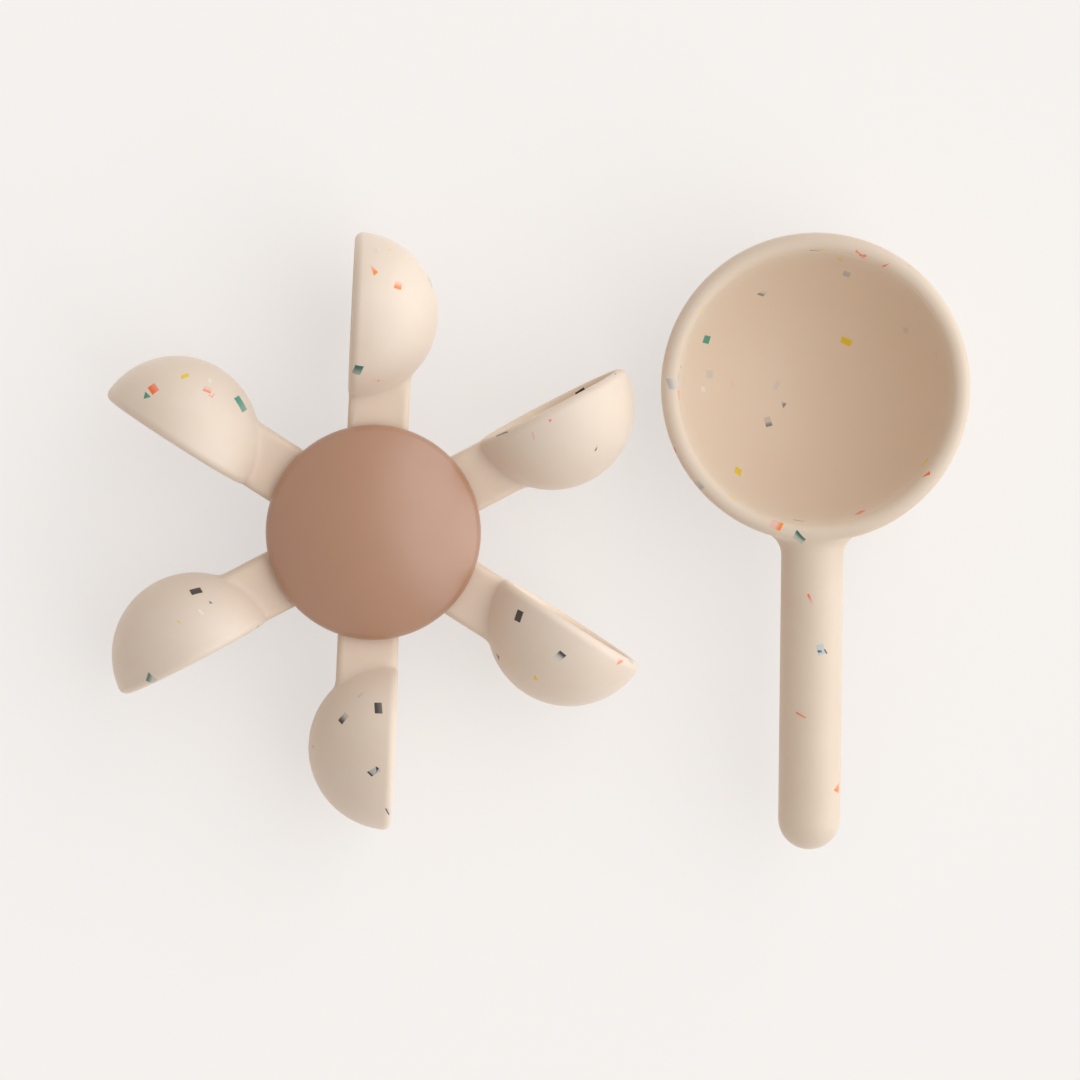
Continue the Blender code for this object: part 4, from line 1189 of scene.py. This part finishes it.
def flaked_finish(name, piece, flakes, bowl, groups):
    """Cream plastic with the flakes that the photograph shows on this piece, and loose ones behind."""
    satin, flake, field = groups
    made, tree, shader, skin = satin_finish(
        name, bowl.light, bowl.deep, CREAM_ROUGHNESS, satin, GRAIN_HEIGHT, CREAM_SHINE
    )
    # Painted bounce light, lighter and warmer inside the bowl
    colour = mix(tree, painted_bounce_share(tree, bowl.centre, bowl.hollow), skin["Colour"], bowl.inside)
    # Painted warm shade near the hub, for the cap's shadow and brown bounce
    if bowl.root:
        colour = mix(tree, painted_root_shade(tree), colour, bowl.root)
    links = {
        "Surface": colour,
        "Bowl Centre": bowl.centre,
        "Bowl Hollow": bowl.hollow + LOOSE_MARGIN,
        "Bowl Opening": bowl.opening,
        "Shift": bowl.shift,
    }
    colour = add_node(tree, "ShaderNodeGroup", links, node_tree=field).outputs["Colour"]
    for chip in flakes:
        centre, long_way, wide_way, depth_way = flake_place(piece, chip)
        links = {
            "Surface": colour,
            "Centre": centre,
            "Long Way": long_way,
            "Wide Way": wide_way,
            "Depth Way": depth_way,
            "Cut": chip.cut,
            "Softness": CLEAR_SOFTNESS + FAINT_SOFTNESS * (1.0 - chip.strength),
            "Strength": chip.strength,
            "Sink": chip.sink,
            "Flake Colour": chip.colour,
            "Deep Colour": chip.deep,
        }
        colour = add_node(tree, "ShaderNodeGroup", links, node_tree=flake).outputs["Colour"]
    feed(tree, shader, {"Base Color": colour})
    dress(piece, made)


def steel_finish():
    """Bright stainless steel with fine turning marks."""
    made, tree, shader = new_material("turned_steel")
    links = {"Vector": object_place(tree), "Scale": (1.0, 1.0, TURNING_SQUEEZE)}
    lines = add_node(tree, "ShaderNodeMapping", links).outputs["Vector"]
    marks = noise(tree, lines, TURNING_SCALE, 4.0)
    links = {
        "Base Color": mix(tree, marks, STEEL_DEEP, STEEL),
        "Roughness": span(tree, marks, 0.3, 0.7, *STEEL_ROUGHNESS),
        "Metallic": 1.0,
    }
    feed(tree, shader, links)
    return made


def dress(thing, material):
    """Gives a piece or a kept CAD node its finish."""
    thing.data.materials.clear()
    thing.data.materials.append(material)


def arm_bowl_look(index):
    """Where an arm's bowl is, and that arm's colours, its painted bounce light inside the bowl, its painted
    warm shade near the hub and its loose flakes' shift.
    """
    angle = arm_angle(index)
    along = Vector((math.cos(angle), math.sin(angle), 0.0))
    opening = Vector((-math.sin(angle), math.cos(angle), 0.0))
    middle = along * BOWL_REACH + opening * BOWL_OFFSET + Vector((0.0, 0.0, WHEEL_PLANE))
    shift = Vector((0.0, 0.0, ARM_FIELD_SHIFT.get(index + 1, 0.0)))
    hollow = BOWL_RADIUS - BOWL_WALL
    return BowlLook(middle, hollow, opening, CREAM, CREAM_DEEP, CREAM_PAINTED_BOUNCE, CREAM_ROOT_PAINTED_SHADE, shift)


def dress_flaked(arms, scoop, shells, satin):
    """The cream pieces get their flaked finish."""
    flake = flake_group()
    groups = (satin, flake, flake_field_group(flake))
    for index, arm in enumerate(arms):
        flaked_finish(f"cream_arm_{index + 1}", arm, ARM_FLAKES[index + 1], arm_bowl_look(index), groups)
    still = Vector((0.0, 0.0, 0.0))
    middle = Vector((SCOOP_X, SCOOP_Y, SCOOP_CENTRE))
    hollow = SCOOP_RADIUS - 2 * LIP_RADIUS
    ladle = BowlLook(middle, hollow, still, SCOOP_CREAM, SCOOP_DEEP, SCOOP_PAINTED_BOUNCE, None, still)
    flaked_finish("cream_scoop", scoop, SCOOP_FLAKES, ladle, groups)
    # The hub shells, all near the hub, take the painted warm shade at its full share
    plain = BowlLook(still, 0.0, still, CREAM, CREAM_DEEP, CREAM, CREAM_ROOT_PAINTED_SHADE, still)
    for shell in shells:
        flaked_finish(f"cream_{shell.name}", shell, [], plain, groups)


def dress_plain(clay_pieces, bell, satin):
    """The clay pieces and the kept nodes get their finishes."""
    clay = satin_finish("clay_satin", CLAY, CLAY_DEEP, CLAY_ROUGHNESS, satin, GRAIN_HEIGHT, CLAY_SHINE)[0]
    silicone = satin_finish(
        "clay_silicone", CLAY, CLAY_DEEP, SILICONE_ROUGHNESS, satin, SILICONE_GRAIN, PLAIN_SHINE
    )[0]
    acetal = satin_finish(
        "acetal", ACETAL, ACETAL_DEEP, ACETAL_ROUGHNESS, satin, ACETAL_GRAIN, PLAIN_SHINE
    )[0]
    steel = steel_finish()
    for piece in clay_pieces:
        dress(piece, clay)
    dress(bell, silicone)
    for node in ("axle_bush", "rear_washer", "front_washer"):
        dress(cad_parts[node], acetal)
    screws = [f"{place}_screw_{index + 1}" for place in ("hub", "base") for index in range(SCREW_COUNT)]
    for node in ["axle_pin", "push_nut"] + screws:
        dress(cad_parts[node], steel)


def lay_floor():
    """A plain pale floor under the suction lip and the scoop's foot."""
    bpy.ops.object.select_all(action="DESELECT")
    bpy.ops.mesh.primitive_plane_add(size=FLOOR_SIZE, location=(0.0, 0.0, -FLOOR_DROP))
    floor = name_piece("floor")
    made, tree, shader = new_material("pale_floor")
    feed(tree, shader, {"Base Color": FLOOR, "Roughness": FLOOR_ROUGHNESS, "Specular IOR Level": 0.0})
    glow = add_node(tree, "ShaderNodeEmission", {"Color": FLOOR_SHOWN, "Strength": 1.0})
    share = number(tree, "MULTIPLY", seen_rays(tree), FLOOR_GLOW)
    chosen = add_node(tree, "ShaderNodeMixShader", {0: share, 1: shader.outputs[0], 2: glow.outputs[0]})
    feed(tree, tree.nodes["Material Output"], {"Surface": chosen.outputs[0]})
    floor.data.materials.append(made)
    floor.visible_shadow = False
    return floor


def seen_rays(tree):
    """1 where a ray is the camera's own, a reflection or one through clear stuff."""
    ray = add_node(tree, "ShaderNodeLightPath")
    seen = number(tree, "MAXIMUM", ray.outputs["Is Camera Ray"], ray.outputs["Is Transmission Ray"])
    return number(tree, "MAXIMUM", seen, ray.outputs["Is Glossy Ray"])


def add_key(name, key, lit):
    """A broad soft lamp from the right that lights its own things only; returns it."""
    light = bpy.data.lights.new(name, "SUN")
    light.energy, light.angle, way = key
    light.color = KEY_COLOUR
    lamp = bpy.data.objects.new(name, light)
    bpy.context.scene.collection.objects.link(lamp)
    right, up, back = photo_axes()
    to_light = right * way[0] + up * way[1] + back * way[2]
    lamp.rotation_euler = to_light.to_track_quat("Z", "Y").to_euler()
    group = bpy.data.collections.new(name)
    for thing in lit:
        group.objects.link(thing)
    lamp.light_linking.receiver_collection = group
    return lamp


def set_keys(scoop, floor):
    """The wheel's key, which the scoop beside it doesn't keep off, and the scoop's."""
    beside = (scoop, floor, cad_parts["pouring_scoop"])
    wheel = [thing for thing in bpy.context.scene.objects if thing.type == "MESH" and thing not in beside]
    lamp = add_key("wheel_key", WHEEL_KEY, wheel)
    lamp.light_linking.blocker_collection = lamp.light_linking.receiver_collection
    add_key("scoop_key", SCOOP_KEY, beside)


def set_surround():
    """An even surround that lights the pieces, and a pale one that the camera sees."""
    world = bpy.data.worlds.new("surround")
    bpy.context.scene.world = world
    world.use_nodes = True
    tree = world.node_tree
    glow = tree.nodes["Background"]
    feed(tree, glow, {"Color": SURROUND_COLOUR, "Strength": SURROUND})
    behind = add_node(tree, "ShaderNodeBackground", {"Color": BACKGROUND, "Strength": 1.0})
    links = {0: seen_rays(tree), 1: glow.outputs[0], 2: behind.outputs[0]}
    chosen = add_node(tree, "ShaderNodeMixShader", links)
    feed(tree, tree.nodes["World Output"], {"Surface": chosen.outputs[0]})


def set_camera():
    """The camera at the photograph's viewing angle."""
    lens = bpy.data.cameras.new("camera")
    lens.sensor_width = SENSOR
    lens.lens = SENSOR * CAMERA_DISTANCE * PIXELS_PER_METRE / PHOTO_WIDTH
    lens.clip_end = CLIP_END
    camera = bpy.data.objects.new("camera", lens)
    bpy.context.scene.collection.objects.link(camera)
    turn = Matrix(photo_axes()).transposed().to_4x4()
    turn.translation = camera_place()
    camera.matrix_world = turn
    bpy.context.scene.camera = camera


set_camera()
floor_piece = lay_floor()
set_surround()
arm_pieces = spread_arms()
scoop_piece = model_scoop()
cap_piece = model_cap()
post_piece = model_post()
plate_piece = model_plate()
bell_piece = model_bell()
shell_pieces = [model_rear_shell(), model_front_shell()]
bpy.context.view_layer.update()
set_keys(scoop_piece, floor_piece)
satin_skin = satin_group()
dress_flaked(arm_pieces, scoop_piece, shell_pieces, satin_skin)
dress_plain((cap_piece, post_piece, plate_piece), bell_piece, satin_skin)
bpy.context.scene.view_settings.view_transform = "Standard"
